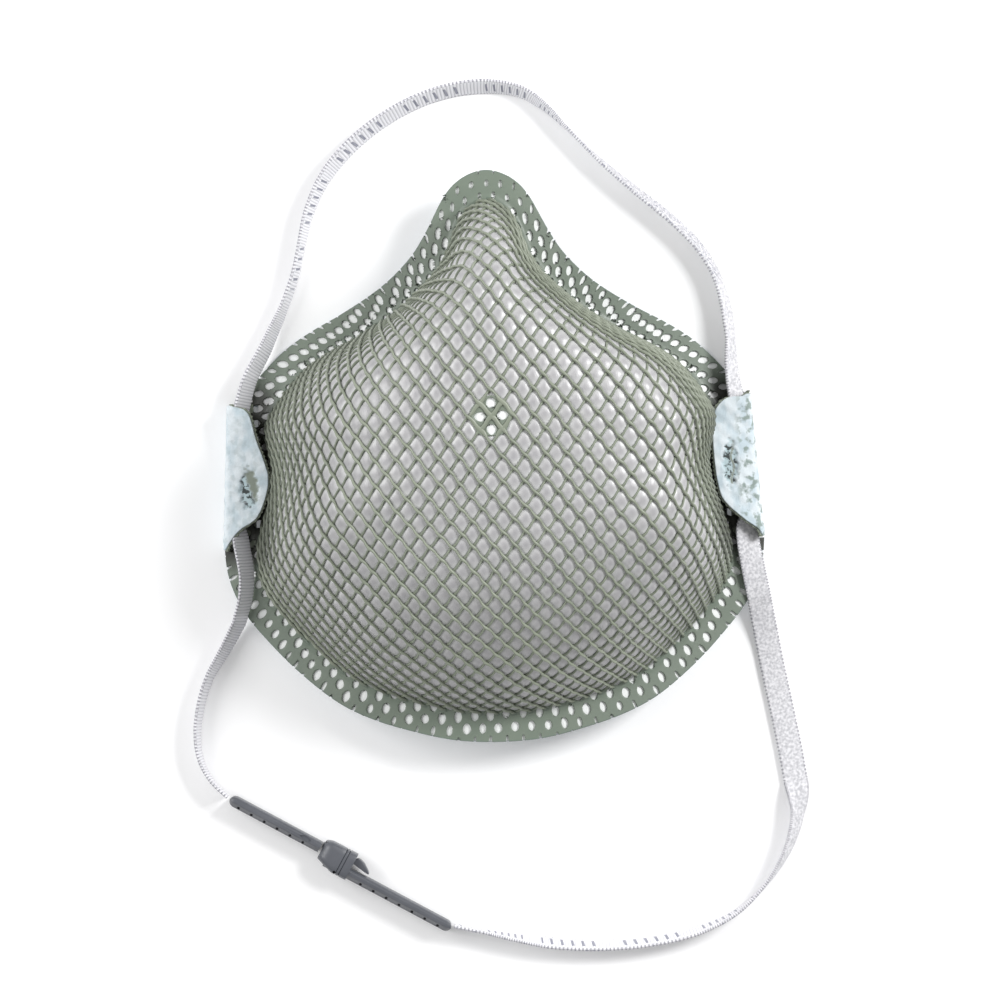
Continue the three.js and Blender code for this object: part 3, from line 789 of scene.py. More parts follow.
def cover_web():
    turn, way = polar_grid(900, lambda t: 0 * t + 0.4, lambda t: cup.ways(t)[1] - 0.25, 0.5)
    foot, _ = cup.ways(turn)
    cell = cell_middle(turn, way)
    on_flange = smoothstep(way, foot - 1.0, foot + 0.5)
    pillow = cell**0.38 * (1 - on_flange)
    welded = 1 - smoothstep(way, CROWN_WELD - 0.5, CROWN_WELD + 1.0)
    bulge = WEB_BULGE * pillow * (1 - 0.8 * welded)
    depth = WEB_DEPTH - bulge - 0.55 * on_flange
    where, _ = cup.at(turn, way, depth)
    rows, columns = turn.shape
    # white where the web is pressed under the flange and at the crown weld, dimmed by painted shade beside the
    # tabs
    white = np.maximum(on_flange, welded) * (1 - 0.8 * shade_in_pocket(where))
    piece = new_mesh(
        "cover_web_cloth", drawn_in(where).reshape(-1, 3), grid_faces(rows, columns, closed=True)[:, ::-1],
        {"pillow": cell**0.6, "white": white},
    )
    return finish_piece(piece, cover_web_cloth, "cover_web")


# ---- the flange: the net melted flat, with what is left of its cells as holes ----

FLANGE_PLATE = 0.7
HOLE_CORNERS = 1.75         # 2 is an ellipse, and less is nearer a diamond
FLANGE_IN_TAB = 2.2         # how far the flange runs on into a tab
# Half a hole's size away from the crown and round it: the least, and how much more it may be.
HOLE_OUT = (1.18, 0.36)
HOLE_ROUND = (0.78, 0.24)
CROWN_HOLE = (1.3, 1.15)    # both halves in the crown's pressed spot
NOSE_TIP = (54, 64)         # the y over which the holes shrink toward the nose


def cell_hole(turn, way, place, ca, cb):
    """How far outside the rim of one cell's hole a place is, in millimetres; less than nothing is inside."""
    centre_turn, centre_way = flat_to_polar(*net_to_flat(ca, cb))
    _, edge = cup.ways(centre_turn)
    seed = np.abs(np.sin(ca * 12.9898 + cb * 78.233) * 43758.5453) % 1
    slit = smoothstep(centre_way, edge - 2.6, edge - 0.6)
    welded = 1 - smoothstep(centre_way, CROWN_WELD, CROWN_WELD + 2)
    centre, _ = cup.at(centre_turn, centre_way)
    at_nose = smoothstep(centre[..., 1], *NOSE_TIP)
    half_out = (HOLE_OUT[0] + HOLE_OUT[1] * seed) * (1 - 0.3 * at_nose)
    half_round = (HOLE_ROUND[0] + HOLE_ROUND[1] * (seed * 7 % 1)) * (1 - 0.62 * slit) * (1 - 0.45 * at_nose)
    half_out = half_out + (CROWN_HOLE[0] - half_out) * welded
    half_round = half_round + (CROWN_HOLE[1] - half_round) * welded
    away = place - centre
    ray = np.stack([np.cos(centre_turn), np.sin(centre_turn)], -1)
    flat_out = (away[..., :2] * ray).sum(-1)
    across = away[..., 1] * ray[..., 0] - away[..., 0] * ray[..., 1]
    out = np.where(np.abs(flat_out) < 3, way - centre_way, flat_out)
    reach = np.abs(out / half_out) ** HOLE_CORNERS + np.abs(across / half_round) ** HOLE_CORNERS
    return (reach ** (1 / HOLE_CORNERS) - 1) * np.minimum(half_out, half_round)


def hole_field(turn, way):
    """How far outside the nearest hole, or the cut for a tab, a place is."""
    a, b = net_numbers(turn, way)
    place, _ = cup.at(turn, way)
    nearest = np.full(np.shape(turn), 9.0)
    for da in (-1, 0, 1):
        for db in (-1, 0, 1):
            field = cell_hole(turn, way, place, np.floor(a) + 0.5 + da, np.floor(b) + 0.5 + db)
            nearest = np.minimum(nearest, field)
    beside_tab = np.abs(place[..., 1] - TAB_Y) - TAB_HALF - TAB_CUT
    return np.minimum(nearest, np.maximum(TAB_ROOT_X + FLANGE_IN_TAB - np.abs(place[..., 0]), beside_tab))


def holed_plate(name, turn, way, depth, grid, thickness, tones):
    """A plate over a grid of the cup, cut at the holes' rims: points close to a rim are moved onto it."""
    field = hole_field(turn, way)
    step = 0.02
    from_crown = cup.at(turn, way)[0][..., :2] - (0, CROWN_Y)
    radius = np.maximum(np.hypot(*from_crown.transpose(2, 0, 1)), 0.5)
    slope_round = (hole_field(turn + step / radius, way) - field) / step
    slope_out = (hole_field(turn, way + step) - field) / step
    steep = np.maximum(slope_round**2 + slope_out**2, 0.25)
    near = np.abs(field) < 0.62 * grid
    move = np.where(near, -field / steep, 0)
    limit = 0.7 * grid
    turn = turn + np.clip(move * slope_round, -limit, limit) / radius
    way = way + np.clip(move * slope_out, -limit, limit)
    where, _ = cup.at(turn, way, depth)
    rows, columns = turn.shape
    faces = grid_faces(rows, columns, closed=True)[:, ::-1]
    inside = ((field < 0) & ~near).ravel()
    on_rim = near.ravel()
    middle = inside[faces].any(1) | (on_rim[faces].all(1) & (field.ravel()[faces].sum(1) < 0))
    faces = faces[~middle]
    used, faces = np.unique(faces, return_inverse=True)
    faces = faces.reshape(-1, 4)
    tones = {key: np.broadcast_to(tone, (rows, columns)).ravel()[used] for key, tone in tones.items()}
    piece = new_mesh(name, where.reshape(-1, 3)[used], faces, tones)
    thick = piece.modifiers.new("thickness", "SOLIDIFY")
    thick.thickness = thickness * MM
    thick.offset = -1
    return piece


def net_flange():
    grid = 0.2
    turn, way = polar_grid(1900, lambda t: cup.ways(t)[0] - 1.6, lambda t: cup.ways(t)[1], grid)
    foot, edge = cup.ways(turn)
    sunk = 0.6 * (1 - smoothstep(way, foot - 1.4, foot + 0.5))
    shade = 0.55 + 0.45 * smoothstep(way, edge - 0.5, edge)
    # the pocket tone is painted shade on the flange beside the tabs
    tones = {"paleness": 0.12, "pressed": shade, "pocket_shade": shade_in_pocket(cup.at(turn, way)[0])}
    piece = holed_plate("net_flange", turn, way, 0.35 + sunk, grid, FLANGE_PLATE, tones)
    return finish_piece(piece, net_plastic, "net_shell")


def crown_spot():
    grid = 0.1
    turn, way = polar_grid(240, lambda t: 0 * t + 0.02, lambda t: CROWN_WELD + 0.25 * np.sin(5 * t), grid)
    dish = 0.35 * (1 - smoothstep(way, CROWN_WELD - 1.2, CROWN_WELD))
    piece = holed_plate("crown_spot", turn, way, 0.62 + dish, grid, 0.5, {"paleness": 0.3, "pressed": 0.4})
    return finish_piece(piece, net_plastic, "crown_weld")


# ---- the soft plies under the web ----

FELT_TOP = 2.1
FELT_BOTTOM = 4.7
FELT_SHORT = 5.0            # how far it ends before the cup's foot
LINER_DEPTH = 5.2
LINER_FLANGE_DEPTH = 1.25
LINER_THICK = 0.5
LINER_RELIEF = 0.15         # how much lower it lies in the middle of a cell


def moulded_ply(name, step, top_depth, thickness, last):
    """A closed ply from near the crown out to the last way, whose depth is a function of the place."""
    turn, way = polar_grid(480, lambda t: 0 * t + 0.25, last, step)
    depth = top_depth(turn, way)
    upper, _ = cup.at(turn, way, depth)
    lower, _ = cup.at(turn, way, depth + thickness)
    rows, columns = turn.shape
    grid = grid_faces(rows, columns, closed=True)
    index = np.arange(rows * columns).reshape(rows, columns)
    walls = []
    for rim in (index[0], index[-1]):
        onward = np.roll(rim, -1)
        walls.append(np.stack([rim, onward, onward + index.size, rim + index.size], 1))
    points = drawn_in(np.concatenate([upper.reshape(-1, 3), lower.reshape(-1, 3)]))
    piece = new_mesh(name, points, np.vstack([grid, grid[:, ::-1] + index.size, *walls]))
    outward(piece)
    return piece


def filter_ply():
    thickness = FELT_BOTTOM - FELT_TOP
    piece = moulded_ply(
        "filter_felt", 1.0, lambda t, w: FELT_TOP + 0 * w, thickness, lambda t: cup.ways(t)[0] - FELT_SHORT,
    )
    return finish_piece(piece, filter_felt, "filter_media")


def liner_depth(turn, way):
    """The liner lies under the felt, rises to the flange, and shows the net's cells faintly."""
    foot, _ = cup.ways(turn)
    rising = smoothstep(way, foot - 6.5, foot + 1.5)
    relief = LINER_RELIEF * cell_middle(turn, way) * (1 - rising)
    return LINER_DEPTH + (LINER_FLANGE_DEPTH - LINER_DEPTH) * rising + relief


def inner_liner():
    piece = moulded_ply("inner_liner_cloth", 0.8, liner_depth, LINER_THICK, lambda t: cup.ways(t)[1] - 0.05)
    return finish_piece(piece, liner_cloth, "inner_liner")


# ---- the nose foam ----

FOAM_HALF_TURN = 0.66
FOAM_TOP = 6.4
FOAM_THICK = 3.6
FOAM_SIDES = 20
FOAM_REACH = (0.60, 0.86)   # of the way from the crown to the foot


def nose_foam():
    stations = np.linspace(-1, 1, 70)
    turn = math.pi / 2 + FOAM_HALF_TURN * stations
    end = np.sqrt(np.clip(1 - np.abs(stations) ** 8, 0.02, 1))
    foot, _ = cup.ways(turn)
    middle = foot * sum(FOAM_REACH) / 2
    half = foot * (FOAM_REACH[1] - FOAM_REACH[0]) / 2 * end
    spin = round_turns(FOAM_SIDES)
    out = squarer(np.cos(spin), 0.55)
    deep = squarer(np.sin(spin), 0.7)
    way = middle[:, None] + half[:, None] * out
    depth = FOAM_TOP + FOAM_THICK / 2 * (1 + deep[None, :] * (0.55 + 0.45 * end[:, None]))
    where, _ = cup.at(np.broadcast_to(turn[:, None], way.shape), way, depth)
    piece = new_mesh("nose_foam_pad", where.reshape(-1, 3), loft_faces(len(stations), FOAM_SIDES))
    outward(piece)
    return finish_piece(piece, foam_white, "nose_foam")


# ---- the tabs: the flange's plies folded up over the strap and welded down ----

TAB_BEND = 2.0
TAB_TOP = 5.4               # the upper bend's centre
TAB_FLARE = 1.3             # how much higher it is at the tab's two mouths
TAB_TILT = 0.3
TAB_LINER = 0.55
TAB_NET = 0.75
TAB_TEETH = 1.05            # pitch of the cut net's stubs along the leaf's edge
TAB_STUB = 0.35             # how far they stand out
# Where each leaf ends: (y, distance from the mask's middle), and the fold's own line.
TAB_TIPS = {
    "left": [
        (13.8, 64.2), (12.2, 59.8), (5.1, 57.5), (0.6, 55.9), (-3.8, 54.8), (-8.2, 55.4),
        (-13.7, 57.9), (-16.8, 62.4), (-21.4, 66.0),
    ],
    "right": [
        (13.2, 63.1), (12.6, 57.4), (9.7, 54.6), (5.3, 53.9), (-2.1, 54.1), (-8.2, 54.9),
        (-11.9, 56.1), (-16.7, 61.1), (-19.4, 64.7), (-21.0, 65.8),
    ],
}
TAB_FOLDS = {"left": ((13.8, 64.6), (-21.4, 66.3)), "right": ((13.2, 63.5), (-21.0, 66.1))}
TAB_ROWS = 150
TAB_COLUMNS = 96
# Each weld's middle, half its width and half its height.
WELD_OVALS = {"left": (59.5, -6.6, 2.5, 5.6), "right": (58.0, -3.2, 2.0, 6.2)}


def fold_line(fold_x, flare, wobble):
    """The outside of a tab, from its root under the flange round the fold and up the leaf: x and z."""
    under = np.linspace(TAB_ROOT_X, fold_x - TAB_BEND, 14, endpoint=False)
    under_z = 0.12 + 1.0 * (1 - smoothstep(under, TAB_ROOT_X, TAB_ROOT_X + 3.5))
    low = np.linspace(-math.pi / 2, 0, 12, endpoint=False)
    high = np.linspace(0, math.pi / 2 - TAB_TILT, 14)
    x = [under, fold_x - TAB_BEND + TAB_BEND * np.cos(low), fold_x - TAB_BEND + TAB_BEND * np.cos(high)]
    z = [under_z, 0.12 + TAB_BEND + TAB_BEND * np.sin(low), TAB_TOP + flare + TAB_BEND * np.sin(high)]
    leaf = np.linspace(0.3, 13, 40)
    x.append(x[-1][-1] - leaf * math.cos(TAB_TILT))
    z.append(z[-1][-1] + leaf * math.sin(TAB_TILT) + wobble * leaf / 9 - 0.012 * leaf**2)
    return np.concatenate(x), np.concatenate(z)


def tab_surface(side, beyond):
    """A grid over a tab's outside, reaching beyond its outline: rows along the fold, columns from the root
    to the leaf's tip."""
    tips = smooth_path(TAB_TIPS[side])
    tips = tips[np.argsort(tips[:, 0])]
    (top_y, top_x), (bottom_y, bottom_x) = TAB_FOLDS[side]
    share = 0.5 - 0.5 * np.cos(np.linspace(0, math.pi, TAB_ROWS))
    rows = bottom_y - beyond + (top_y - bottom_y + 2 * beyond) * share
    points = np.empty((TAB_ROWS, TAB_COLUMNS, 3))
    for i, y in enumerate(rows):
        inside = (np.clip(y, bottom_y, top_y) - bottom_y) / (top_y - bottom_y)
        fold_x = bottom_x + (top_x - bottom_x) * inside
        to_mouth = min(top_y - y, y - bottom_y)
        flare = TAB_FLARE * (1 - smoothstep(to_mouth, 0, 8))
        x, z = fold_line(fold_x, flare, 0.22 * math.sin(0.4 * y + 1))
        length = np.concatenate([[0], np.cumsum(np.hypot(np.diff(x), np.diff(z)))])
        tip = np.interp(y, tips[:, 0], tips[:, 1])
        if beyond:
            tip -= beyond + TAB_STUB * max(0, math.sin(2 * math.pi * y / TAB_TEETH)) ** 0.5
        furthest = int(np.argmax(x))
        end = np.interp(-tip, -x[furthest:], length[furthest:])
        along = np.linspace(0, end, TAB_COLUMNS)
        points[i, :, 0] = np.interp(along, length, x)
        points[i, :, 1] = y
        points[i, :, 2] = np.interp(along, length, z)
    return points


def weld_mark(side, points):
    """Where the leaf is crushed by its weld, and where it is pressed bare there: both from 0 to 1."""
    x, y, z = points.transpose(2, 0, 1)
    centre_x, centre_y, half_x, half_y = WELD_OVALS[side]
    out, up = (x - centre_x) / half_x, (y - centre_y) / half_y
    ragged = 0.10 * np.sin(2.6 * y + 1.7 * x) + 0.07 * np.sin(5.1 * y - 3 * x)
    mark = (1 - smoothstep(np.hypot(out, up) + ragged, 0.72, 1.0)) * (z > 4.5)
    if side == "left":
        bare = mark * smoothstep(0.55 * up - 0.7 * out + 0.5 * ragged, -0.05, 0.12)
    else:
        line = np.abs(x - 58.6 - 0.35 * np.sin(1.1 * y)) < 0.24
        bare = mark * line
    return mark, bare


def tab_piece(side, name, depth, thickness, beyond, material, *nodes):
    """One of a tab's two plies: the liner outside, at no depth, and the net under it."""
    points = tab_surface(side, beyond)
    mark, bare = weld_mark(side, points)
    along = np.gradient(points, axis=1)
    down = np.gradient(points, axis=0)
    normal = unit(np.cross(down, along))
    x, y = points[..., 0], points[..., 1]
    if depth == 0:
        mottle = smoothstep(x, 58.5, 61.5) if side == "right" else 0.22 + 0 * x
        tones = {"crushed": mark - bare, "bare": bare, "mottle": mottle * (1 - mark)}
        puff = 0.10 * np.sin(1.9 * y) * np.sin(1.5 * x)
    else:
        tones = {"paleness": 0.4 + 0 * x}
        puff = 0 * x
    sunk = (depth + 0.5 * mark + puff * (1 - mark))[..., None]
    outer = points - normal * sunk
    inner = points - normal * (sunk + thickness)
    both = np.concatenate([outer.reshape(-1, 3), inner.reshape(-1, 3)])
    if side == "left":
        both[:, 0] *= -1
    doubled = {key: np.concatenate([tone.ravel(), tone.ravel()]) for key, tone in tones.items()}
    piece = new_mesh(name, both, slab_faces(TAB_ROWS, TAB_COLUMNS), doubled)
    outward(piece)
    return finish_piece(piece, material, *nodes)


def tabs():
    for side in ("left", "right"):
        cloth = tab_piece(
            side, f"tab_cloth_{side}", 0, TAB_LINER, 0, liner_cloth, f"tab_liner_{side}", f"tab_weld_{side}",
        )
        tab_piece(
            side, f"tab_netting_{side}", TAB_LINER + 0.02, TAB_NET, 0.3, net_plastic, f"tab_net_{side}",
        )


# ---- the strap ----

STRAP_WIDTH = 5.8
STRAP_THICK = 0.95
BUNCHED_WIDTH = 3.0
BUNCHED_THICK = 1.7
STRAP_STEP = 0.21
STRAP_SIDES = 28
RIB_PITCH = 0.84
RIB = 0.13
EDGE_LOOP = 0.17
STRAP_GAP = 0.1             # between the strap and the flange under it
FLOOR_GAP = 0.12            # between the strap and the floor
PATH_BLUR = 2.4
BUNCHED_TO_FREE = (-8, -1.5)  # distances from a tab's mouth, outward
LYING_DOWN = (4, 30)
TO_BUCKLE = 14.0            # the stretch over which the strap rises to the buckle
PRINTED_ABOVE = (40, 44)    # the y over which the print sets in, over the head
PRINTED_BELOW = (100, 106)  # and toward the buckle
# How far the strap leans over, in degrees, at shares of each stretch: 0 lies flat with its ribs up,
# 90 stands on edge, and 180 lies flat with its back up.
LEAN_UPPER = [
    (0, 62), (0.06, 74), (0.14, 77), (0.2, 70), (0.27, 62), (0.5, 61), (0.57, 72), (0.63, 90), (0.7, 101),
    (0.77, 110), (0.85, 112), (0.92, 111), (0.97, 116), (1, 114),
]
LEAN_IN_LEFT = [(0, 62), (0.5, 45), (1, 62)]
LEAN_IN_RIGHT = [(0, 114), (0.5, 150), (1, 176)]
LEAN_LOWER_LEFT = [(0, 62), (0.12, 66), (0.3, 74), (0.55, 78), (0.75, 83), (0.9, 88), (1, 90)]
LEAN_LOWER_RIGHT = [
    (0, 176), (0.28, 174), (0.33, 124), (0.45, 98), (0.6, 74), (0.85, 70), (0.95, 88), (1, 90),
]
BAR_MIDDLE = 3.7            # height of the strap where the buckle holds it


def stretch(route, leans):
    """One stretch of the route as a smooth line, with the lean as a fourth number at each of its points."""
    line = smooth_path(route)
    along = lengths(line)
    return np.column_stack([line, np.interp(along / along[-1], *zip(*leans))])


def turned_round(line):
    """The same stretch from its far end, where a lean to the left is one to the right."""
    return line[::-1] * (1, 1, 1, -1)


def soft_blur(values, count):
    """Values along a line, blurred over count of them."""
    kernel = np.hanning(count + 2)[1:-1]
    kernel /= kernel.sum()
    padded = np.pad(values, count // 2, mode="edge")
    return np.convolve(padded, kernel, "valid")[: len(values)]


def tab_distance(path):
    """How far outside a tab's mouths a point of the strap is; less than nothing is inside."""
    return np.abs(path[:, 1] - TAB_Y) - TAB_HALF


def strap_frame(path, lean):
    """The strap's directions along its width and out of its face, at each of its points."""
    forward = unit(np.gradient(path, axis=0))
    left = unit(np.cross((0, 0, 1), forward))
    up = np.cross(forward, left)
    wide = np.cos(lean)[:, None] * left + np.sin(lean)[:, None] * up
    face = -np.sin(lean)[:, None] * left + np.cos(lean)[:, None] * up
    return wide, face


def lift_off_cup(path, wide, lean, width, thick):
    """How much each point has to rise for the strap to clear the flange beside a tab."""
    mouth = tab_distance(path)
    near = (mouth > -6) & (mouth < 26)  # the flange reaches no further
    lift = np.zeros(len(path))
    for across in (-1, -0.5, 0, 0.5, 1):
        sample = path + wide * (across * width / 2)[:, None]
        bottom = sample[:, 2] - np.abs(np.cos(lean)) * thick / 2
        lift[near] = np.maximum(lift, cup.top(sample[:, 0], sample[:, 1]) + STRAP_GAP - bottom)[near]
    for spread in (4, 2):
        lift = np.maximum(lift, soft_blur(lift, int(spread / STRAP_STEP)))
    return soft_blur(lift, int(3 / STRAP_STEP))


def strap_middle(line):
    """The strap's middle along a line of points with leans: its points, how far along each is, the lean in
    radians, the width and the thickness. It bunches in a tab, rests on the floor and ends at the buckle."""
    path, along = spaced(line, STRAP_STEP)
    blur = int(PATH_BLUR / STRAP_STEP)
    lean = np.radians(soft_blur(path[:, 3], 2 * blur))
    path = np.stack([soft_blur(path[:, k], blur) for k in range(3)], 1)
    mouth = tab_distance(path)
    free = smoothstep(mouth, *BUNCHED_TO_FREE)
    width = BUNCHED_WIDTH + (STRAP_WIDTH - BUNCHED_WIDTH) * free
    thick = BUNCHED_THICK + (STRAP_THICK - BUNCHED_THICK) * free
    rest = FLOOR_GAP + np.abs(np.sin(lean)) * width / 2 + np.abs(np.cos(lean)) * thick / 2
    path[:, 2] += (rest - path[:, 2]) * smoothstep(mouth, *LYING_DOWN)
    to_end = np.abs(along - along[-1])
    path[:, 2] += (BAR_MIDDLE - path[:, 2]) * (1 - smoothstep(to_end, 0, TO_BUCKLE))
    return path, along, lean, width, thick


def ribbon(name, line):
    """The strap along a line of points with leans, and the points of its middle."""
    path, along, lean, width, thick = strap_middle(line)
    wide, face = strap_frame(path, lean)
    path[:, 2] += lift_off_cup(path, wide, lean, width, thick)
    spin = round_turns(STRAP_SIDES, 0.5)
    across = squarer(np.cos(spin), 0.6)
    high = squarer(np.sin(spin), 0.4)
    wave = 2 * math.pi * along[:, None] / RIB_PITCH + 0.8 * np.abs(across)[None, :]
    ridge = np.abs(np.cos(wave / 2)) ** 1.2
    beat = np.clip(np.sin(2 * math.pi * along / EDGE_DOT_PITCH), 0, 1)
    loops = EDGE_LOOP * beat[:, None] * (np.abs(across) > 0.9)
    sideways = across[None, :] * width[:, None] / 2 + np.sign(across)[None, :] * loops
    relief = np.where(high > 0, ridge, 0.6 + 0.2 * np.cos(2 * wave))
    upwards = high[None, :] * (thick[:, None] / 2 - RIB * (1 - relief))
    ring = path[:, None] + wide[:, None] * sideways[..., None] + face[:, None] * upwards[..., None]
    shape = ring.shape[:2]
    y = path[:, 1]
    printed = smoothstep(y, *PRINTED_ABOVE) if name == "strap_left" else smoothstep(-y, *PRINTED_BELOW)
    tones = {
        "across": np.broadcast_to(across, shape), "along": np.broadcast_to(along[:, None], shape),
        "rib": ridge, "back": np.broadcast_to(high < 0, shape),
        "printed": np.broadcast_to(printed[:, None], shape),
    }
    piece = new_mesh(name, ring.reshape(-1, 3), loft_faces(len(path), STRAP_SIDES), tones)
    outward(piece)
    return piece, path


def straps(male_pieces, female_pieces):
    """The strap is made in two pieces that meet inside the right tab: one goes over the head to the left tab
    and on to the buckle's male half, and the other down to its female half."""
    in_right = stretch(STRAP_IN_RIGHT, LEAN_IN_RIGHT)
    middle = int(np.argmin(np.abs(in_right[:, 1] - TAB_Y)))
    in_left = stretch(STRAP_IN_LEFT, LEAN_IN_LEFT) * (1, 1, 1, -1)
    lower_left = stretch(STRAP_LOWER_LEFT, LEAN_LOWER_LEFT) * (1, 1, 1, -1)
    upper = turned_round(stretch(STRAP_UPPER, LEAN_UPPER))
    over_head = np.vstack([turned_round(in_right[: middle + 1]), upper[8:-8], in_left, lower_left[4:]])
    piece, path = ribbon("strap_left", over_head)
    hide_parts("strap_upper", "strap_in_left_tab", "strap_lower_left")
    piece.data.materials.append(strap_elastic)
    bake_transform(piece)
    lower_right = stretch(STRAP_LOWER_RIGHT, LEAN_LOWER_RIGHT)[8:]
    piece, path = ribbon("strap_right", np.vstack([in_right[middle:], lower_right]))
    finish_piece(piece, strap_elastic, "strap_in_right_tab", "strap_lower_right")


# ---- the buckle ----

BUCKLE_START = (-66.2, -82.3, 0.1)
BUCKLE_ANGLE = math.radians(-29.5)
MALE_LENGTH = 25.0
FEMALE_SIDE = -2.4
FEMALE_END = 62.5
HOOD_START = 25.6
HOOD_END = 34.1
HOOD_SIDES = 20
HOOD_STATIONS = (
    25.6, 25.7, 26.0, 26.5, 27.2, 28.2, 30.2, 31.1, 31.25, 31.4, 31.9, 32.05, 32.2, 33.8, 34.02, 34.1,
)
HOOD_GROOVES = {31.25: 0.28, 32.05: 0.28, 34.1: 0.12}
PIN_PITCH = 3.56
PIN_RADIUS = 0.36
FIRST_PIN = 2.9
LAST_PIN = 59.3
FEMALE_PIN_SHIFT = -0.35    # the hood's own pins lie further out
TONGUE_HEIGHTS = (1.75, 5.45)
TONGUE = [
    (25.3, 0.2), (34.4, 0.2), (37.6, -0.3), (38.5, -0.35), (38.6, -0.1), (38.0, 0.5), (36.6, 1.5),
    (35.2, 1.98), (34.5, 1.98), (34.3, 1.6), (30, 1.6), (25.3, 1.6),
]
SLOT_HEIGHTS = (1.25, 6.0)
SLOT = [(24, -0.75), (35, -0.75), (35, 2.05), (24, 2.05)]
RECESS_HEIGHTS = (6.35, 7.5)
RECESS = (20.8, 0.35, 1.5, 0.55)  # an oval's middle and half its size each way
# The bar's section, from its south foot over the ridge to its north foot: y and z.
BAR_SECTION = [
    (-1.15, 0.35), (-1.35, 0.6), (-1.35, 4.9), (-0.35, 6.6), (-0.15, 6.8), (0.6, 6.75), (1.05, 6.4),
    (1.25, 6.0), (1.25, 0.6), (1.1, 0.35),
]


def to_row_frame(piece):
    """Moves a mesh made in the buckle's own frame, x along it, to where the buckle lies."""
    turned = Matrix.Rotation(BUCKLE_ANGLE, 4, "Z")
    piece.data.transform(Matrix.Translation(Vector(BUCKLE_START) * MM) @ turned)


def settle(piece):
    """Applies a piece's modifiers to its mesh."""
    bpy.context.view_layer.update()
    shaped = bpy.data.meshes.new_from_object(piece.evaluated_get(bpy.context.evaluated_depsgraph_get()))
    piece.modifiers.clear()
    piece.data = shaped


def combine(piece, other, operation):
    """Joins or cuts a piece with another one, which is used up."""
    change = piece.modifiers.new("change", "BOOLEAN")
    change.operation = operation
    change.object = other
    change.solver = "EXACT"
    settle(piece)
    bpy.data.objects.remove(other)


def bevelled(piece, width):
    rounding = piece.modifiers.new("rounding", "BEVEL")
    rounding.width = width * MM
    rounding.segments = 3
    rounding.angle_limit = math.radians(28)
    settle(piece)


def loft(name, rings):
    piece = new_mesh(name, np.concatenate(rings), loft_faces(len(rings), len(rings[0])), smooth=False)
    outward(piece)
    return piece


def bar(name, round_x, square_x, middle):
    """A bar with one rounded end."""
    section = np.array(BAR_SECTION)
    centre_z = section[:, 1].mean()
    direction = math.copysign(1, square_x - round_x)
    rings = []
    for turn in [*np.linspace(0.12, math.pi / 2, 8), None]:
        narrow = 1 if turn is None else math.sin(turn)
        low = 1 if turn is None else 0.72 + 0.28 * math.sin(turn)
        x = square_x if turn is None else round_x + direction * 1.5 * (1 - math.cos(turn))
        y = middle + section[:, 0] * narrow
        z = centre_z + (section[:, 1] - centre_z) * low
        rings.append(np.column_stack([np.full(len(section), x), y, z]))
    return loft(name, rings)


def pins(places, middle):
    """Small upright cutters along a bar's south chamfer."""
    points, faces = [], []
    sides = 12
    spin = round_turns(sides)
    circle = PIN_RADIUS * np.stack([np.cos(spin), np.sin(spin), 0 * spin], 1)
    for x in places:
        for z in (4.2, 8):
            points.append(circle + (x, middle - 0.88, z))
        faces.append(loft_faces(2, sides) + len(faces) * 2 * sides)
    piece = new_mesh("pins", np.concatenate(points), np.concatenate(faces), smooth=False)
    outward(piece)
    return piece


def prism(name, outline, low, high):
    """An upright prism over an outline with an even number of points."""
    flat = np.array(outline, float)
    return loft(name, [np.column_stack([flat, np.full(len(flat), z)]) for z in (low, high)])


def oval(centre_x, centre_y, half_x, half_y, sides=16):
    spin = round_turns(sides)
    return np.column_stack([centre_x + half_x * np.cos(spin), centre_y + half_y * np.sin(spin)])


def male_half():
    piece = bar("buckle_male_bar", 0, MALE_LENGTH, 0)
    combine(piece, prism("recess", oval(*RECESS), *RECESS_HEIGHTS), "DIFFERENCE")
    places = [FIRST_PIN + PIN_PITCH * k for k in range(6)]
    combine(piece, pins(places, 0), "DIFFERENCE")
    bevelled(piece, 0.12)
    to_row_frame(piece)
    return finish_piece(piece, buckle_plastic, "buckle_male", body="buckle_male_half")


def tongue():
    piece = prism("buckle_latch_tongue", TONGUE, *TONGUE_HEIGHTS)
    bevelled(piece, 0.3)
    to_row_frame(piece)
    return finish_piece(piece, buckle_plastic, "buckle_tongue", body="buckle_latch")


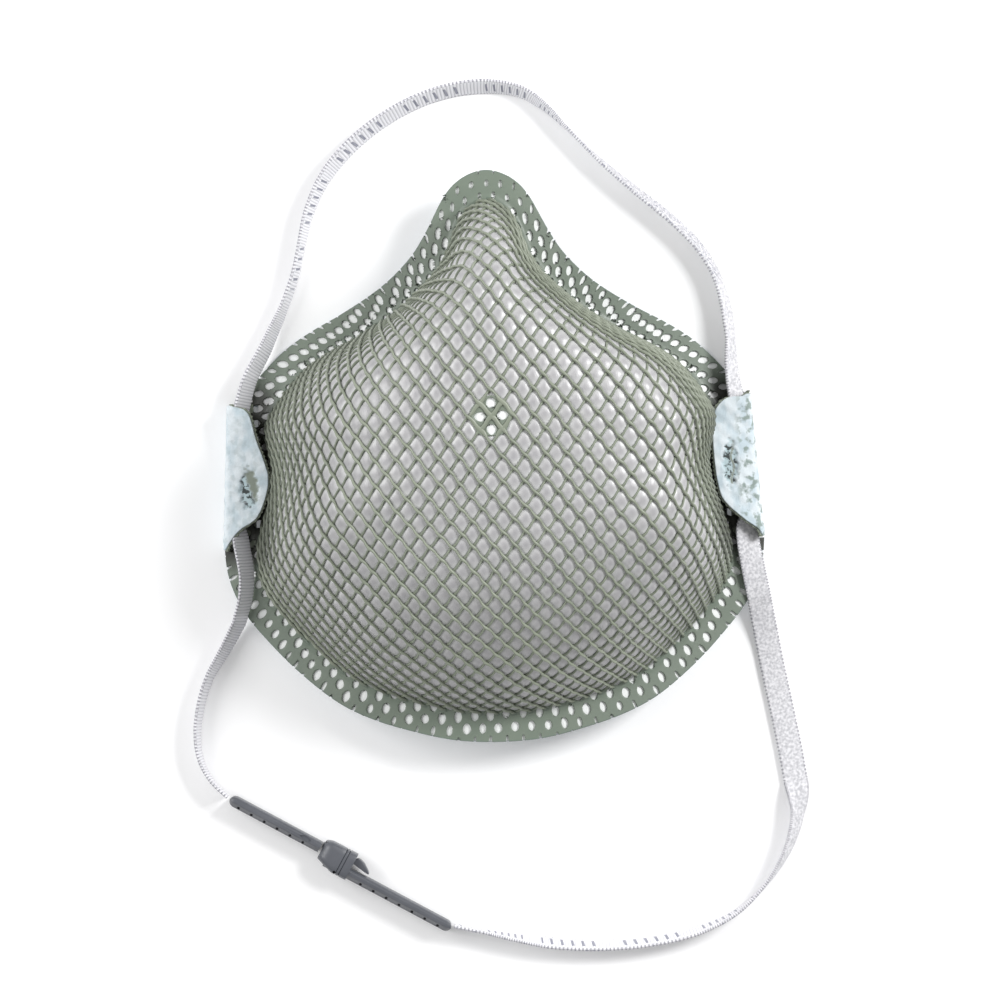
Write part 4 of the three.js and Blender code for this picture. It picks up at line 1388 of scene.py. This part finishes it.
def hood():
    """The box that the tongue snaps through: rounded where it starts, with two grooves near its end."""
    spin = round_turns(HOOD_SIDES, 0.5)
    out = squarer(np.cos(spin), 0.42)
    high = squarer(np.sin(spin), 0.42)
    rings = []
    for x in HOOD_STATIONS:
        swell = math.sin(math.pi / 2 * min(1, (x - 25.3) / 2.4)) ** 0.7
        south = -2.7 - 1.5 * min(1, (x - 25.6) / 4.6)
        north = 2.85 * (0.62 + 0.38 * swell)
        top = 7.2 * (0.76 + 0.24 * swell)
        groove = HOOD_GROOVES.get(x, 0)
        y = (north + south) / 2 + out * ((north - south) / 2 - groove)
        z = top / 2 + high * (top / 2 - groove)
        rings.append(np.column_stack([np.full(HOOD_SIDES, x), y, z]))
    return loft("hood", rings)


def female_half():
    piece = bar("buckle_female_bar", FEMALE_END, HOOD_START + 2, FEMALE_SIDE)
    combine(piece, hood(), "UNION")
    combine(piece, prism("slot", SLOT, *SLOT_HEIGHTS), "DIFFERENCE")
    places = [LAST_PIN - PIN_PITCH * k for k in range(10)]
    combine(piece, pins([x for x in places if x > HOOD_END + 0.5], FEMALE_SIDE), "DIFFERENCE")
    combine(piece, pins([x for x in places if x < HOOD_END - 1], FEMALE_SIDE + FEMALE_PIN_SHIFT), "DIFFERENCE")
    bevelled(piece, 0.12)
    to_row_frame(piece)
    return finish_piece(piece, buckle_plastic, "buckle_female")


# ---- the floor ----


def make_floor():
    bpy.ops.mesh.primitive_plane_add(size=6, location=(0, 0, 0))
    floor = bpy.context.object
    floor.name = "floor"
    n = Nodes("floor")
    n.colour(n.ramp(n.noise(3, 2), (0.3, (0.86, 0.86, 0.865)), (0.7, (0.875, 0.875, 0.88))))
    n.roughness(0.6)
    n.shader.inputs["Emission Color"].default_value = (1, 1, 1, 1)
    n.shader.inputs["Emission Strength"].default_value = FLOOR_GLOW
    floor.data.materials.append(n.material)


make_camera()
make_light()
make_floor()
straps([male_half(), tongue()], [female_half()])
cover_web()
net_flange()
net_strands("over")
net_strands("under")
crown_spot()
filter_ply()
inner_liner()
nose_foam()
tabs()
